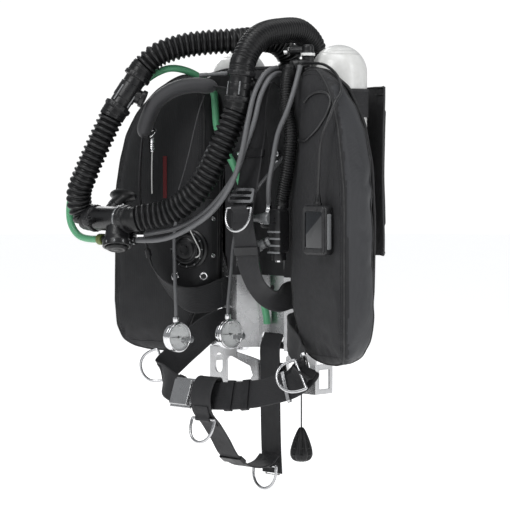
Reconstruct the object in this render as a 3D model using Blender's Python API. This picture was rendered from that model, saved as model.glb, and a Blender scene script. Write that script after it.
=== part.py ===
"""Back-mounted rebreather with its buoyancy vest: bladder, backplate, harness and breathing loop.

Units in this file are millimetres; MM turns them into Blender's metres. The origin is the centre of
the backplate's front plane, where the diver's back rests. The diver faces -Y, +X is the diver's left
and +Z is up. The unit hangs from the diver, so its straps reach below the stand.
"""

import math

import bmesh
import bpy
import numpy as np
from mathutils import Matrix, Vector

MM = 0.001
GAP = 0.4                      # clearance between pieces that touch

# Driving dimensions
PLATE_THICK = 3.0
PLATE_HALF_WIDTH = 98.0
PLATE_BOTTOM, PLATE_TOP = -170.0, 235.0
CHANNEL_DEPTH = 32.0
CHANNEL_FLOOR_HALF = 34.0
CHANNEL_MOUTH_HALF = 60.0
BASE_Z = -243.0                # the plane that the unit stands on
STAND_TOP = -154.0
WEBBING_WIDTH, WEBBING_THICK = 50.0, 2.6
WIRE_RADIUS = 2.6              # harness rings
CYLINDER_X, CYLINDER_Y, CYLINDER_RADIUS = 125.0, 73.0, 50.0
CYLINDER_TOP, CYLINDER_NECK = 375.0, -92.0
VALVE_Z = -165.0
CANISTER_Y, CANISTER_RADIUS = 130.0, 80.0
CANISTER_BOTTOM = -142.0
HEAD_Z, HEAD_TOP = 240.0, 300.0
PORT_X, PORT_Y, PORT_TOP = 32.0, 112.0, 334.0
LOOP_HOSE_DIAMETER = 46.0
LP_HOSE_DIAMETER = 9.0
OXYGEN_HOSE_DIAMETER = 13.0
GAUGE_HOSE_DIAMETER = 6.5
CABLE_DIAMETER = 5.0
BAND_BOTTOM, BAND_TOP = 246.0, 296.0
COVER_BOTTOM, COVER_TOP = 0.0, 302.0


# ---------------------------------------------------------------- helpers

def pivot(obj, point):
    """Move a piece's origin to a point on its joint's axis, leaving the piece where it is."""
    place = Vector(point) * MM
    obj.data.transform(Matrix.Translation(-place))
    obj.location = place
    return obj


def clear_scene():
    for obj in list(bpy.data.objects):
        bpy.data.objects.remove(obj, do_unlink=True)


def material(name, colour, roughness, metallic=0.0):
    made = bpy.data.materials.new(name)
    made.use_nodes = True
    shader = made.node_tree.nodes["Principled BSDF"]
    shader.inputs["Base Color"].default_value = (*colour, 1.0)
    shader.inputs["Roughness"].default_value = roughness
    shader.inputs["Metallic"].default_value = metallic
    return made


def link(name, data, finish):
    obj = bpy.data.objects.new(name, data)
    bpy.context.scene.collection.objects.link(obj)
    obj.data.materials.append(finish)
    return obj


def finish_mesh(name, bm, finish, smooth_angle=40):
    bmesh.ops.recalc_face_normals(bm, faces=bm.faces)
    mesh = bpy.data.meshes.new(name)
    bm.to_mesh(mesh)
    bm.free()
    mesh.shade_smooth()
    mesh.set_sharp_from_angle(angle=math.radians(smooth_angle))
    return link(name, mesh, finish)


def skin_rings(bm, rings):
    """Quads between rings of points, closed at both ends; a ring of one point is a pole."""
    loops = [[bm.verts.new(Vector(p) * MM) for p in ring] for ring in rings]
    for low, high in zip(loops, loops[1:]):
        count = max(len(low), len(high))
        for i in range(count):
            j = (i + 1) % count
            corners = [low[i % len(low)], low[j % len(low)], high[j % len(high)], high[i % len(high)]]
            bm.faces.new(list(dict.fromkeys(corners)))
    for end in (loops[0], loops[-1]):
        if len(end) > 2:
            bm.faces.new(end)


def across(direction):
    """Two unit vectors across a direction."""
    helper = Vector((0, 0, 1)) if abs(direction.z) < 0.9 else Vector((1, 0, 0))
    side = direction.cross(helper).normalized()
    return side, direction.cross(side).normalized()


def turned_rings(profile, start, direction, segments):
    start, direction = Vector(start), Vector(direction).normalized()
    side, other = across(direction)
    rings = []
    for along, radius in profile:
        centre = start + direction * along
        if radius == 0:
            rings.append([centre])
            continue
        angles = [2 * math.pi * i / segments for i in range(segments)]
        rings.append([centre + (side * math.cos(a) + other * math.sin(a)) * radius for a in angles])
    return rings


def turned(name, profile, start, direction, finish, segments=24):
    """A turned solid: profile holds (distance along the axis, radius)."""
    bm = bmesh.new()
    skin_rings(bm, turned_rings(profile, start, direction, segments))
    return finish_mesh(name, bm, finish)


def box(name, low, high, finish, bevel=0.0):
    bm = bmesh.new()
    bmesh.ops.create_cube(bm, size=1.0)
    centre = (Vector(low) + Vector(high)) / 2 * MM
    size = (Vector(high) - Vector(low)) * MM
    bmesh.ops.transform(bm, matrix=Matrix.Translation(centre) @ Matrix.Diagonal((*size, 1)), verts=bm.verts)
    if bevel:
        bmesh.ops.bevel(bm, geom=bm.edges, offset=bevel * MM, segments=2, affect="EDGES", profile=0.5)
    return finish_mesh(name, bm, finish)


def as_cutter(obj):
    obj.hide_render = True
    obj.display_type = "WIRE"
    return obj


def boolean(obj, other, operation):
    modifier = obj.modifiers.new(operation.lower(), "BOOLEAN")
    modifier.operation = operation
    modifier.solver = "EXACT"
    modifier.object = as_cutter(other)


def join(obj, *others):
    for other in others:
        boolean(obj, other, "UNION")
    return obj


def cut(obj, *cutters):
    for cutter in cutters:
        boolean(obj, cutter, "DIFFERENCE")
    return obj


def smooth_line(points, turn=14.0, longest=70.0):
    """Rows on a smooth curve through the given ones, closer together where the curve turns or twists.

    A row is a position in its first three numbers, and may carry the direction across a strap."""
    points = np.array(points, float)
    chords = np.linalg.norm(np.diff(points[:, :3], axis=0), axis=1)
    slopes = np.diff(points, axis=0) / chords[:, None]
    tangents = np.empty_like(points)
    tangents[0], tangents[-1] = slopes[0], slopes[-1]
    before, after = chords[:-1, None], chords[1:, None]
    tangents[1:-1] = (slopes[:-1] * after + slopes[1:] * before) / (before + after)
    fine = []
    for i, chord in enumerate(chords):
        t = np.linspace(0, 1, 16, endpoint=i == len(chords) - 1)[:, None]
        fine.append(
            (2 * t**3 - 3 * t**2 + 1) * points[i] + (t**3 - 2 * t**2 + t) * chord * tangents[i]
            + (3 * t**2 - 2 * t**3) * points[i + 1] + (t**3 - t**2) * chord * tangents[i + 1]
        )
    fine = np.concatenate(fine)
    steps = np.diff(fine[:, :3], axis=0)
    lengths = np.linalg.norm(steps, axis=1)
    headings = steps / lengths[:, None]
    bends = np.degrees(np.arccos(np.clip((headings[1:] * headings[:-1]).sum(axis=1), -1, 1)))
    if fine.shape[1] > 3:
        sides = fine[:, 3:] / np.linalg.norm(fine[:, 3:], axis=1)[:, None]
        twists = np.degrees(np.arccos(np.clip((sides[1:] * sides[:-1]).sum(axis=1), -1, 1)))
        bends = bends + twists[1:]
    kept, spent = [0], 0.0
    for i in range(1, len(fine) - 1):
        spent += lengths[i - 1] / longest + bends[i - 1] / turn
        if spent >= 1.0:
            kept.append(i)
            spent = 0.0
    if len(kept) > 1 and spent < 0.4:
        kept.pop()
    return fine[kept + [len(fine) - 1]]


def hose(name, route, diameter, finish, resolution=2, turn=14.0):
    """A round tube along a smooth curve through the route, with a straight first and last step."""
    inner = smooth_line(route[1:-1], turn)
    line = np.array([route[0], *inner, route[-1]], float)
    curve = bpy.data.curves.new(name, "CURVE")
    curve.dimensions = "3D"
    spline = curve.splines.new("POLY")
    spline.points.add(len(line) - 1)
    for point, place in zip(spline.points, line):
        point.co = (*(place * MM), 1.0)
    curve.bevel_depth = diameter / 2 * MM
    curve.bevel_resolution = resolution
    curve.use_fill_caps = True
    return link(name, curve, finish)


def strap(name, stations, finish, width=WEBBING_WIDTH):
    """Flat webbing. Each station is (x, y, z) and the direction across the webbing."""
    rows = smooth_line([(*place, *Vector(side).normalized()) for place, side in stations], 20.0)
    bm = bmesh.new()
    rings = []
    for i, row in enumerate(rows):
        centre = Vector(row[:3])
        ahead = Vector(rows[min(i + 1, len(rows) - 1)][:3]) - Vector(rows[max(i - 1, 0)][:3])
        ahead.normalize()
        side = Vector(row[3:])
        side = (side - ahead * side.dot(ahead)).normalized() * width / 2
        up = ahead.cross(side).normalized() * WEBBING_THICK / 2
        rings.append([centre - side - up, centre + side - up, centre + side + up, centre - side + up])
    skin_rings(bm, rings)
    return finish_mesh(name, bm, finish)


def rounded(x0, z0, x1, z1, radius, steps=4):
    """Corners of a rounded rectangle, counter-clockwise."""
    points = []
    for cx, cz, first in ((x1 - radius, z0 + radius, -90), (x1 - radius, z1 - radius, 0),
                          (x0 + radius, z1 - radius, 90), (x0 + radius, z0 + radius, 180)):
        for k in range(steps + 1):
            a = math.radians(first + 90 * k / steps)
            points.append((cx + radius * math.cos(a), cz + radius * math.sin(a)))
    return points


def prism(name, outline, y0, y1, finish, holes=()):
    """A prism along Y with an outline in X and Z, and holes through it."""
    curve = bpy.data.curves.new(name, "CURVE")
    curve.dimensions = "2D"
    curve.fill_mode = "BOTH"
    curve.extrude = abs(y1 - y0) / 2 * MM
    for loop in (outline, *holes):
        spline = curve.splines.new("POLY")
        spline.points.add(len(loop) - 1)
        for point, (x, z) in zip(spline.points, loop):
            point.co = (x * MM, z * MM, 0, 1)
        spline.use_cyclic_u = True
    holder = bpy.data.objects.new(name, curve)
    mesh = bpy.data.meshes.new_from_object(holder)
    bpy.data.objects.remove(holder)
    middle = Matrix.Translation(Vector((0, (y0 + y1) / 2, 0)) * MM)
    mesh.transform(middle @ Matrix.Rotation(math.pi / 2, 4, "X"))
    bm = bmesh.new()
    bm.from_mesh(mesh)
    bmesh.ops.remove_doubles(bm, verts=bm.verts, dist=0.001 * MM)
    return finish_mesh(name, bm, finish)


def offset_line(line, distance):
    """A polyline in X and Y moved sideways by a distance, with mitred corners."""
    points = [Vector(p) for p in line]
    normals = [Vector((-(b - a).y, (b - a).x)).normalized() for a, b in zip(points, points[1:])]
    moved = []
    for i, point in enumerate(points):
        first, second = normals[max(i - 1, 0)], normals[min(i, len(normals) - 1)]
        mitre = (first + second).normalized()
        moved.append(point + mitre * distance / mitre.dot(first))
    return moved


def bent_sheet(name, line, thickness, z0, z1, finish):
    """A folded sheet: a polyline in X and Y drawn up from z0 to z1 and thickened to its left."""
    inner, outer = offset_line(line, 0), offset_line(line, thickness)
    outline = inner + outer[::-1]
    bm = bmesh.new()
    low = [bm.verts.new(Vector((p.x, p.y, z0)) * MM) for p in outline]
    high = [bm.verts.new(Vector((p.x, p.y, z1)) * MM) for p in outline]
    count, half = len(outline), len(inner)
    for i in range(count):
        j = (i + 1) % count
        bm.faces.new([low[i], low[j], high[j], high[i]])
    for i in range(half - 1):
        j = count - 1 - i
        for layer in (low, high):
            bm.faces.new([layer[i], layer[i + 1], layer[j - 1], layer[j]])
    return finish_mesh(name, bm, finish, 30)


def hull(circles, grow, steps=32):
    """The convex outline in X and Y round circles (x, y, radius), each grown by the same amount."""
    points = sorted({
        (round(x + (r + grow) * math.cos(2 * math.pi * k / steps), 3),
         round(y + (r + grow) * math.sin(2 * math.pi * k / steps), 3))
        for x, y, r in circles for k in range(steps)
    })
    chains = []
    for ordered in (points, points[::-1]):
        chain = []
        for p in ordered:
            while len(chain) > 1 and (
                (chain[-1][0] - chain[-2][0]) * (p[1] - chain[-2][1])
                - (chain[-1][1] - chain[-2][1]) * (p[0] - chain[-2][0]) <= 1e-6
            ):
                chain.pop()
            chain.append(p)
        chains += chain[:-1]
    return chains


def ring_band(name, circles, inside, thickness, z0, z1, finish):
    """A band of even thickness round a group of circles."""
    outer = prism(name, hull(circles, inside + thickness), z0, z1, finish, holes=[hull(circles, inside)])
    outer.data.transform(Matrix.Rotation(-math.pi / 2, 4, "X"))
    outer.data.transform(Matrix.Diagonal((1, -1, -1, 1)))
    outer.data.transform(Matrix.Diagonal((1, -1, 1, 1)))
    outer.data.flip_normals()
    return outer


# ---------------------------------------------------------------- finishes

def make_finishes():
    return {
        "steel": material("stainless_steel", (0.55, 0.55, 0.56), 0.28, 1.0),
        "fabric": material("black_nylon_fabric", (0.018, 0.018, 0.019), 0.75),
        "webbing": material("black_webbing", (0.014, 0.014, 0.015), 0.8),
        "rubber": material("black_rubber", (0.012, 0.012, 0.013), 0.45),
        "plastic": material("black_plastic", (0.015, 0.015, 0.016), 0.35),
        "white": material("white_cylinder_paint", (0.80, 0.80, 0.79), 0.3),
        "chrome": material("chrome_plated_brass", (0.75, 0.75, 0.76), 0.12, 1.0),
        "grey_hose": material("grey_braided_hose", (0.10, 0.10, 0.105), 0.35),
        "green_hose": material("green_oxygen_hose", (0.10, 0.36, 0.19), 0.4),
        "green_knob": material("green_knob", (0.10, 0.16, 0.03), 0.5),
        "dial": material("gauge_face", (0.75, 0.76, 0.76), 0.4),
        "screen": material("dark_display_glass", (0.02, 0.022, 0.025), 0.1),
        "needle": material("gauge_needle", (0.01, 0.01, 0.01), 0.4),
    }


# ---------------------------------------------------------------- frame

PLATE_LINE = [
    (-PLATE_HALF_WIDTH, 0), (-CHANNEL_MOUTH_HALF, 0), (-CHANNEL_FLOOR_HALF, CHANNEL_DEPTH),
    (CHANNEL_FLOOR_HALF, CHANNEL_DEPTH), (CHANNEL_MOUTH_HALF, 0), (PLATE_HALF_WIDTH, 0),
]
SLOT_X = 86.0                  # harness slots in the wings of the plate
SHOULDER_SLOT_Z, WAIST_SLOT_Z = -68.0, -124.0


def make_backplate(mat):
    plate = bent_sheet("backplate", PLATE_LINE, PLATE_THICK, PLATE_BOTTOM, PLATE_TOP, mat["steel"])
    outline = [(-80, -170), (80, -170), (92, -164), (98, -150), (98, 120), (90, 170), (76, 222), (64, 235),
               (-64, 235), (-76, 222), (-90, 170), (-98, 120), (-98, -150), (-92, -164)]
    outline = [(x * 1.003, z * 1.003) for x, z in outline]
    holes = [rounded(-28, -158, 28, -142, 6, 2)]
    for sign in (-1, 1):
        for z in (SHOULDER_SLOT_Z, WAIST_SLOT_Z):
            holes.append(rounded(sign * SLOT_X - 4.5, z - 27, sign * SLOT_X + 4.5, z + 27, 4.4, 2))
        for z in (10, 60, 110):
            holes.append(rounded(sign * 80 - 6, z - 6, sign * 80 + 6, z + 6, 5.9, 2))
    for z in (-60, 40, 140):
        holes.append(rounded(-5, z - 5, 5, z + 5, 4.9, 2))
    boolean(plate, prism("plate_outline", outline, -20, 60, mat["steel"], holes), "INTERSECT")
    return plate


def make_stand(mat):
    """Folded sheet bolted behind the plate's lower edge, with windows and two short side flanges."""
    half, flange_back = 134.0, 48.0
    line = [(-half, flange_back), (-half, 3.4)] + [
        (p.x, p.y) for p in offset_line(PLATE_LINE, PLATE_THICK + GAP)[1:-1]
    ] + [(half, 3.4), (half, flange_back)]
    stand = bent_sheet("base_stand", line, PLATE_THICK, BASE_Z, STAND_TOP, mat["steel"])
    edge = [(142, -172), (99, -172), (97, -150), (69, -150), (66, -178), (49, -187), (38, -194), (27, -196)]
    outline = [(-142, -250), (142, -250)] + edge + [(-x, z) for x, z in edge[::-1]]
    window = [(91, -232), (91, -198), (86, -190), (78, -187), (62, -192), (47, -205), (44, -222), (48, -232)]
    holes = []
    for sign in (-1, 1):
        holes.append(rounded(sign * 110.5 - 9.5, -220, sign * 110.5 + 9.5, -183, 9.4, 3))
        holes.append([(sign * x, z) for x, z in window])
    boolean(stand, prism("stand_outline", outline, -20, 70, mat["steel"], holes), "INTERSECT")
    for sign in (-1, 1):
        low, high = sorted((sign * (half - 10), sign * (half + 10)))
        cut(stand, box(f"flange_window_{sign + 1}", (low, 14, -234), (high, 40, -200), mat["steel"]),
            box(f"flange_top_{sign + 1}", (low, 7, -190), (high, 60, -140), mat["steel"]))
    return stand


def make_canister(mat):
    r = CANISTER_RADIUS
    bottom = CANISTER_BOTTOM
    turned("scrubber_canister", [(0, r - 4), (4, r), (24, r), (26, r - 2), (34, r - 2), (36, r),
                                 (HEAD_Z - bottom - GAP, r)],
           (0, CANISTER_Y, bottom), (0, 0, 1), mat["plastic"], 28)
    head = turned("canister_head", [(0, r + 1), (34, r + 1), (38, r - 2), (52, r - 4), (60, r - 12)],
                  (0, CANISTER_Y, HEAD_Z), (0, 0, 1), mat["plastic"], 28)
    for sign in (-1, 1):
        join(head, turned(f"port_{sign + 1}", [(0, 25), (26, 25), (28, 21), (PORT_TOP - HEAD_TOP + 10, 21)],
                          (sign * PORT_X, PORT_Y, HEAD_TOP - 10), (0, 0, 1), mat["plastic"], 16))
    join(head, turned("latch_boss", [(0, 20), (16, 20), (20, 14)], (0, 168, HEAD_TOP - 6), (0, 0, 1),
                      mat["plastic"], 16))


def make_cylinder(side, sign, mat):
    profile = [(0, 13), (14, 13), (22, 28), (40, 44), (66, CYLINDER_RADIUS)]
    length = CYLINDER_TOP - CYLINDER_NECK
    for k in range(0, 6):
        a = math.radians(18 * k)
        profile.append((length - CYLINDER_RADIUS + CYLINDER_RADIUS * math.sin(a),
                        CYLINDER_RADIUS * math.cos(a)))
    profile[-1] = (length, 0)
    x = sign * CYLINDER_X
    out = -1                       # both valves are right-handed, so both knobs point to the diver's right
    turned(f"cylinder_{side}", profile, (x, CYLINDER_Y, CYLINDER_NECK), (0, 0, 1), mat["white"], 24)
    valve = turned(f"cylinder_valve_{side}", [(0, 17), (26, 17), (30, 14), (92 - GAP, 14)],
                   (x, CYLINDER_Y, VALVE_Z - 19), (0, 0, 1), mat["chrome"], 20)
    join(valve,
         turned(f"stem_{side}", [(0, 12), (30, 12), (31, 8), (37, 8)], (x, CYLINDER_Y, VALVE_Z),
                (out, 0, 0), mat["chrome"], 16),
         turned(f"outlet_{side}", [(0, 13), (26, 13)], (x, CYLINDER_Y, VALVE_Z), (0, -1, 0),
                mat["chrome"], 16))
    knob_mat = mat["green_knob"] if side == "right" else mat["plastic"]
    knob = turned(f"valve_knob_{side}", [(0, 12), (3, 17), (30, 17), (34, 13)],
                  (x + out * (37 + GAP), CYLINDER_Y, VALVE_Z), (out, 0, 0), knob_mat, 20)
    pivot(knob, (x, CYLINDER_Y, VALVE_Z))
    reg_front = CYLINDER_Y - 26 - GAP
    stage = turned(f"first_stage_{side}", [(0, 16), (8, 16), (9, 19), (26, 19), (27, 15), (36, 15), (38, 12)],
                   (x, reg_front, VALVE_Z), (0, -1, 0), mat["chrome"], 20)
    join(stage, turned(f"stage_port_{side}", [(0, 6), (26, 6)], (x - sign * 2, reg_front - 18, VALVE_Z),
                       (-sign, 0, 0.7), mat["chrome"], 12))


def make_cover_and_band(mat):
    cylinders = [(s * CYLINDER_X, CYLINDER_Y, CYLINDER_RADIUS) for s in (-1, 1)]
    ring_band("tank_band", cylinders + [(0, CANISTER_Y, CANISTER_RADIUS + 1)], GAP, 2.2,
              BAND_BOTTOM, BAND_TOP, mat["webbing"])
    shape = [(-172, 125, 10), (172, 125, 10), (0, 131, 87), (-172, 60, 10), (172, 60, 10)]
    cover = ring_band("rear_cover", shape, 0.5, 2.6, COVER_BOTTOM, COVER_TOP, mat["fabric"])
    cut(cover, box("cover_front_cut", (-220, 20, -20), (220, 100, 330), mat["fabric"]))


# ---------------------------------------------------------------- soft bags

# Outline of a counterlung: height, inner edge, outer edge, share of full depth
LUNG_OUTLINE = [
    (-183, 196, 246, 0.25), (-178, 172, 270, 0.52), (-166, 152, 287, 0.78), (-138, 132, 296, 0.94),
    (-95, 112, 299, 1.0), (-40, 103, 299, 1.0), (40, 101, 299, 1.0), (120, 101, 297, 1.0),
    (170, 101, 289, 1.0), (220, 101, 277, 0.95), (262, 103, 257, 0.84), (300, 110, 225, 0.66),
    (320, 122, 197, 0.46), (330, 138, 175, 0.25),
]
LUNG_FRONT_INNER, LUNG_FRONT_SLOPE = -31.0, -0.3265
LUNG_BACK_INNER, LUNG_BACK_SLOPE = 6.0, -0.095


def lung_front(x):
    return LUNG_FRONT_INNER + LUNG_FRONT_SLOPE * (x - 101)


def lung_back(x):
    return LUNG_BACK_INNER + LUNG_BACK_SLOPE * (x - 101)


def make_counterlung(side, sign, mat):
    rings = []
    for z, inner, outer, share in LUNG_OUTLINE:
        ring = []
        spread = (outer - inner) / 2
        corner = min(9.0, spread * 0.4)
        taper = 70 * (1 - share) if z < 0 else 0
        for x, depth in ((inner + corner, 1), (inner + spread, 1), (outer - corner, 1), (outer, 0.8),
                         (outer - 3 - taper / 3, 0.0), (outer - 8 - taper / 2, -0.72),
                         (outer - 2 * corner - taper / 2, -1),
                         (inner + spread, -1), (inner + corner, -1), (inner, -0.6), (inner, 0.6)):
            middle = (lung_front(x) + lung_back(x)) / 2
            half = (lung_back(x) - lung_front(x)) / 2 * share
            ring.append((sign * x, middle - depth * half, z))
        rings.append(ring)
    bm = bmesh.new()
    skin_rings(bm, rings)
    finish_mesh(f"counterlung_{side}", bm, mat["fabric"], 50)


def make_wing(mat):
    """The buoyancy bladder: a flat horseshoe between the counterlungs and the cylinders."""
    outer = [(-188, -182), (-208, -176), (-228, -160), (-243, -135), (-254, -105), (-261, -60), (-264, 60),
             (-258, 160), (-240, 235), (-205, 295), (-160, 325), (-100, 336)]
    inner = [(-104, 235), (-104, -60), (-120, -104), (-150, -140), (-170, -168)]
    right = [(-x, z) for x, z in outer]
    right_inner = [(-x, z) for x, z in inner]
    prism("wing", outer + right[::-1] + right_inner[::-1] + inner, 8.5, 17.0, mat["fabric"])


# ---------------------------------------------------------------- harness

def make_harness(mat):
    web = mat["webbing"]
    level, upright = (1, 0, 0), (0, 0, 1)
    strap("shoulder_strap_left", [
        ((49, -2, 160), level), ((49, -2, 190), level), ((49, -4, 210), level), ((49, -9, 228), level),
        ((49, -16, 260), level), ((49, -24, 296), level), ((50, -42, 306), level), ((54, -58, 285), level),
        ((60, -72, 220), level), ((64, -96, 120), level), ((68, -112, 74), (1, 0.05, 0)),
        ((71, -104, 14), (1, 0.1, 0)), ((72, -98, -20), (1, 0, 0.1)), ((76, -84, -50), (1, -0.1, 0.3)),
        ((80, -56, -71), (0.7, -0.2, 0.6)), ((84, -30, -73), (0.2, 0, 1)), ((85.5, -10, -68), upright),
        ((85.5, 0, -68), upright),
        ((84, 6, -68), upright), ((77, 10.5, -68), upright), ((68, 11, -68), upright)], web)
    strap("shoulder_strap_right", [
        ((-49, -2, 160), level), ((-49, -2, 190), level), ((-49, -4, 210), level), ((-49, -9, 228), level),
        ((-50, -16, 262), level), ((-58, -30, 292), (1, -0.2, 0)), ((-84, -62, 305), (1, -0.7, 0)),
        ((-120, -92, 300), (1, -0.8, 0)), ((-152, -112, 276), (1, -1, 0)), ((-170, -122, 236), (1, -1, 0)),
        ((-180, -126, 170), (1, -1, 0)), ((-186, -122, 100), (1, -1, 0)), ((-184, -112, 30), (1, -1, 0)),
        ((-172, -100, -30), (1, -1, 0.2)), ((-144, -80, -68), (0.6, -0.8, 0.8)),
        ((-112, -54, -84), (0.2, -0.2, 1)),
        ((-91, -24, -76), upright), ((-85.8, -7, -69), upright), ((-85.5, 0, -68), upright),
        ((-84, 6, -68), upright), ((-77, 10.5, -68), upright), ((-68, 11, -68), upright)], web)
    droop = (0, 0.35, 1)
    strap("waist_strap_right", [
        ((-68, 12, -124), upright), ((-77, 11, -124), upright), ((-84, 6, -124), upright),
        ((-86, -1, -124), upright), ((-88, -14, -126), upright), ((-98, -38, -138), upright),
        ((-122, -56, -164), (-0.25, -0.15, 1)), ((-148, -72, -192), (-0.3, -0.2, 1)),
        ((-154, -94, -212), (-0.3, -0.1, 1)), ((-124, -116, -229), (0, 0.2, 1)),
        ((-80, -127, -240), droop), ((-38, -132, -244), droop)], web)
    strap("waist_strap_left", [
        ((68, 12, -124), upright), ((77, 11, -124), upright), ((84, 6, -124), upright),
        ((86, -1, -124), upright), ((88, -14, -126), upright), ((112, -41, -138), upright),
        ((154, -58, -166), (-0.4, 0.1, 1)), ((181, -70, -190), (-0.7, 0.1, 1)),
        ((176, -91, -210), (-0.6, 0.1, 1)),
        ((138, -109, -226), (-0.3, 0.3, 1)), ((78, -122, -238), droop), ((16, -130, -243), droop),
        ((-30, -133, -244.5), droop)], web)
    strap("crotch_strap_rear", [
        ((0, 41, -122), level), ((0, 40, -136), level), ((0, 33.5, -150), level), ((0, 27, -164), level),
        ((0, 26, -200), level), ((0, 27, -280), level), ((0, 29, -350), level), ((0, 32, -397), level)], web)
    strap("crotch_strap_front", [
        ((0, 24, -364), level), ((0, 12, -374), level), ((0, -14, -380), level), ((0, -46, -375), level),
        ((0, -78, -354), level), ((0, -101, -322), level), ((0, -123, -294), level), ((0, -144, -270), level),
        ((0, -148, -248), level), ((0, -141, -224), level), ((0, -132, -213), level),
        ((0, -121, -212), level),
        ((0, -116.5, -223), level), ((0, -122, -241), level), ((0, -127, -256), level)], web)


def make_ring(name, bar, side, down, mat, width=52.0, depth=42.0):
    """A D-ring: its straight bar centred at bar along side, its bow hanging along down."""
    bar, side = Vector(bar), Vector(side).normalized()
    down = Vector(down)
    down = (down - side * down.dot(side)).normalized()
    half = width / 2 + WIRE_RADIUS
    points = [bar - side * half, bar, bar + side * half]
    for k in range(0, 9):
        a = math.radians(180 * k / 8)
        points.append(bar + side * half * math.cos(a) * 1.0 + down * (8 + (depth - 8) * math.sin(a) ** 0.8))
    line = [tuple(p) for p in points]
    curve = bpy.data.curves.new(name, "CURVE")
    curve.dimensions = "3D"
    spline = curve.splines.new("POLY")
    spline.points.add(len(line) - 1)
    for point, place in zip(spline.points, line):
        point.co = (*(Vector(place) * MM), 1.0)
    spline.use_cyclic_u = True
    curve.bevel_depth = WIRE_RADIUS * MM
    curve.bevel_resolution = 2
    return pivot(link(name, curve, mat["steel"]), bar)


RINGS = {
    # name: centre of the bar, along the bar, direction of the bow
    "dring_shoulder": ((66, -117, 88), (1, 0.05, 0), (0.02, -0.25, -1)),
    "dring_waist_right": ((-164, -88, -201), (-0.3, -0.18, 1), (-0.27, -0.18, -0.11)),
    "dring_waist_left": ((189.5, -91.5, -195), (-0.68, 0.1, 1), (-0.55, -0.75, -0.33)),
    "dring_crotch_front": ((0, -141, -284), (1, 0, 0), (0, -0.3, -1)),
    "dring_crotch_rear": ((0, 13, -381), (1, 0, 0), (0, -0.1, -1)),
}


BUCKLE_HINGE = (-24, -9.6, 0)    # in the buckle's own frame, before it leans with the belt


def make_buckle(mat):
    """Cam buckle on the belt, right of the middle: a frame and the lever hinged on its outer edge."""
    lean = Matrix.Translation(Vector((-54, -133, -244)) * MM) @ Matrix.Rotation(-math.atan(0.35), 4, "X")
    frame = box("belt_buckle", (-26, -6.6, -27), (26, -2.2, 27), mat["steel"], 0.8)
    lever = box("buckle_lever", (-24, -12, -23), (20, -7.2, 23), mat["steel"], 1.2)
    for piece in (frame, lever):
        piece.data.transform(lean)
    pivot(lever, lean @ (Vector(BUCKLE_HINGE) * MM) / MM)


def make_triglide(mat):
    slots = [rounded(66 - 25.5, 101, 66 + 25.5, 107, 2.9), rounded(66 - 25.5, 111, 66 + 25.5, 117, 2.9)]
    glide = prism("triglide_shoulder", rounded(66 - 31, 96, 66 + 31, 122, 6), -1.6, 1.6, mat["steel"], slots)
    tilt = Matrix.Translation(Vector((66, -112, 109)) * MM) @ Matrix.Rotation(math.radians(-14), 4, "X")
    glide.data.transform(tilt @ Matrix.Translation(Vector((-66, 0, -109)) * MM))


# ---------------------------------------------------------------- breathing loop

MOUTH = Vector((-175.5, -200, 66))     # middle of the mouthpiece barrel
MOUTH_HALF = 50.0
BOWL = MOUTH + Vector((22, -6, -14))
PURGE_OUT = Vector((0.25, -0.25, -1)).normalized()
LEVER_X = -24.0
LEVER_OUT = Vector((0, -0.99, -0.14)).normalized()
TEE_RIGHT_LOW, TEE_RIGHT_HIGH = Vector((45, -100, 271)), Vector((47, -93, 326))
TEE_LEFT_LOW, TEE_LEFT_HIGH = Vector((-190, -176, 262)), Vector((-166, -143, 325))


def make_tee(name, low, high, branch, mat):
    """A straight coupling with a short branch towards its counterlung."""
    axis = (high - low).normalized()
    length = (high - low).length
    r = LOOP_HOSE_DIAMETER / 2
    tee = turned(name, [(GAP, r + 1), (9, r + 1), (10, r - 4), (length - 10, r - 4), (length - 9, r + 1),
                        (length - GAP, r + 1)], low, axis, mat["plastic"], 20)
    middle = (low + high) / 2
    join(tee, turned(f"{name}_branch", [(0, 13), (26, 13), (27, 16), (34, 16)], middle, branch,
                     mat["plastic"], 12))


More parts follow.
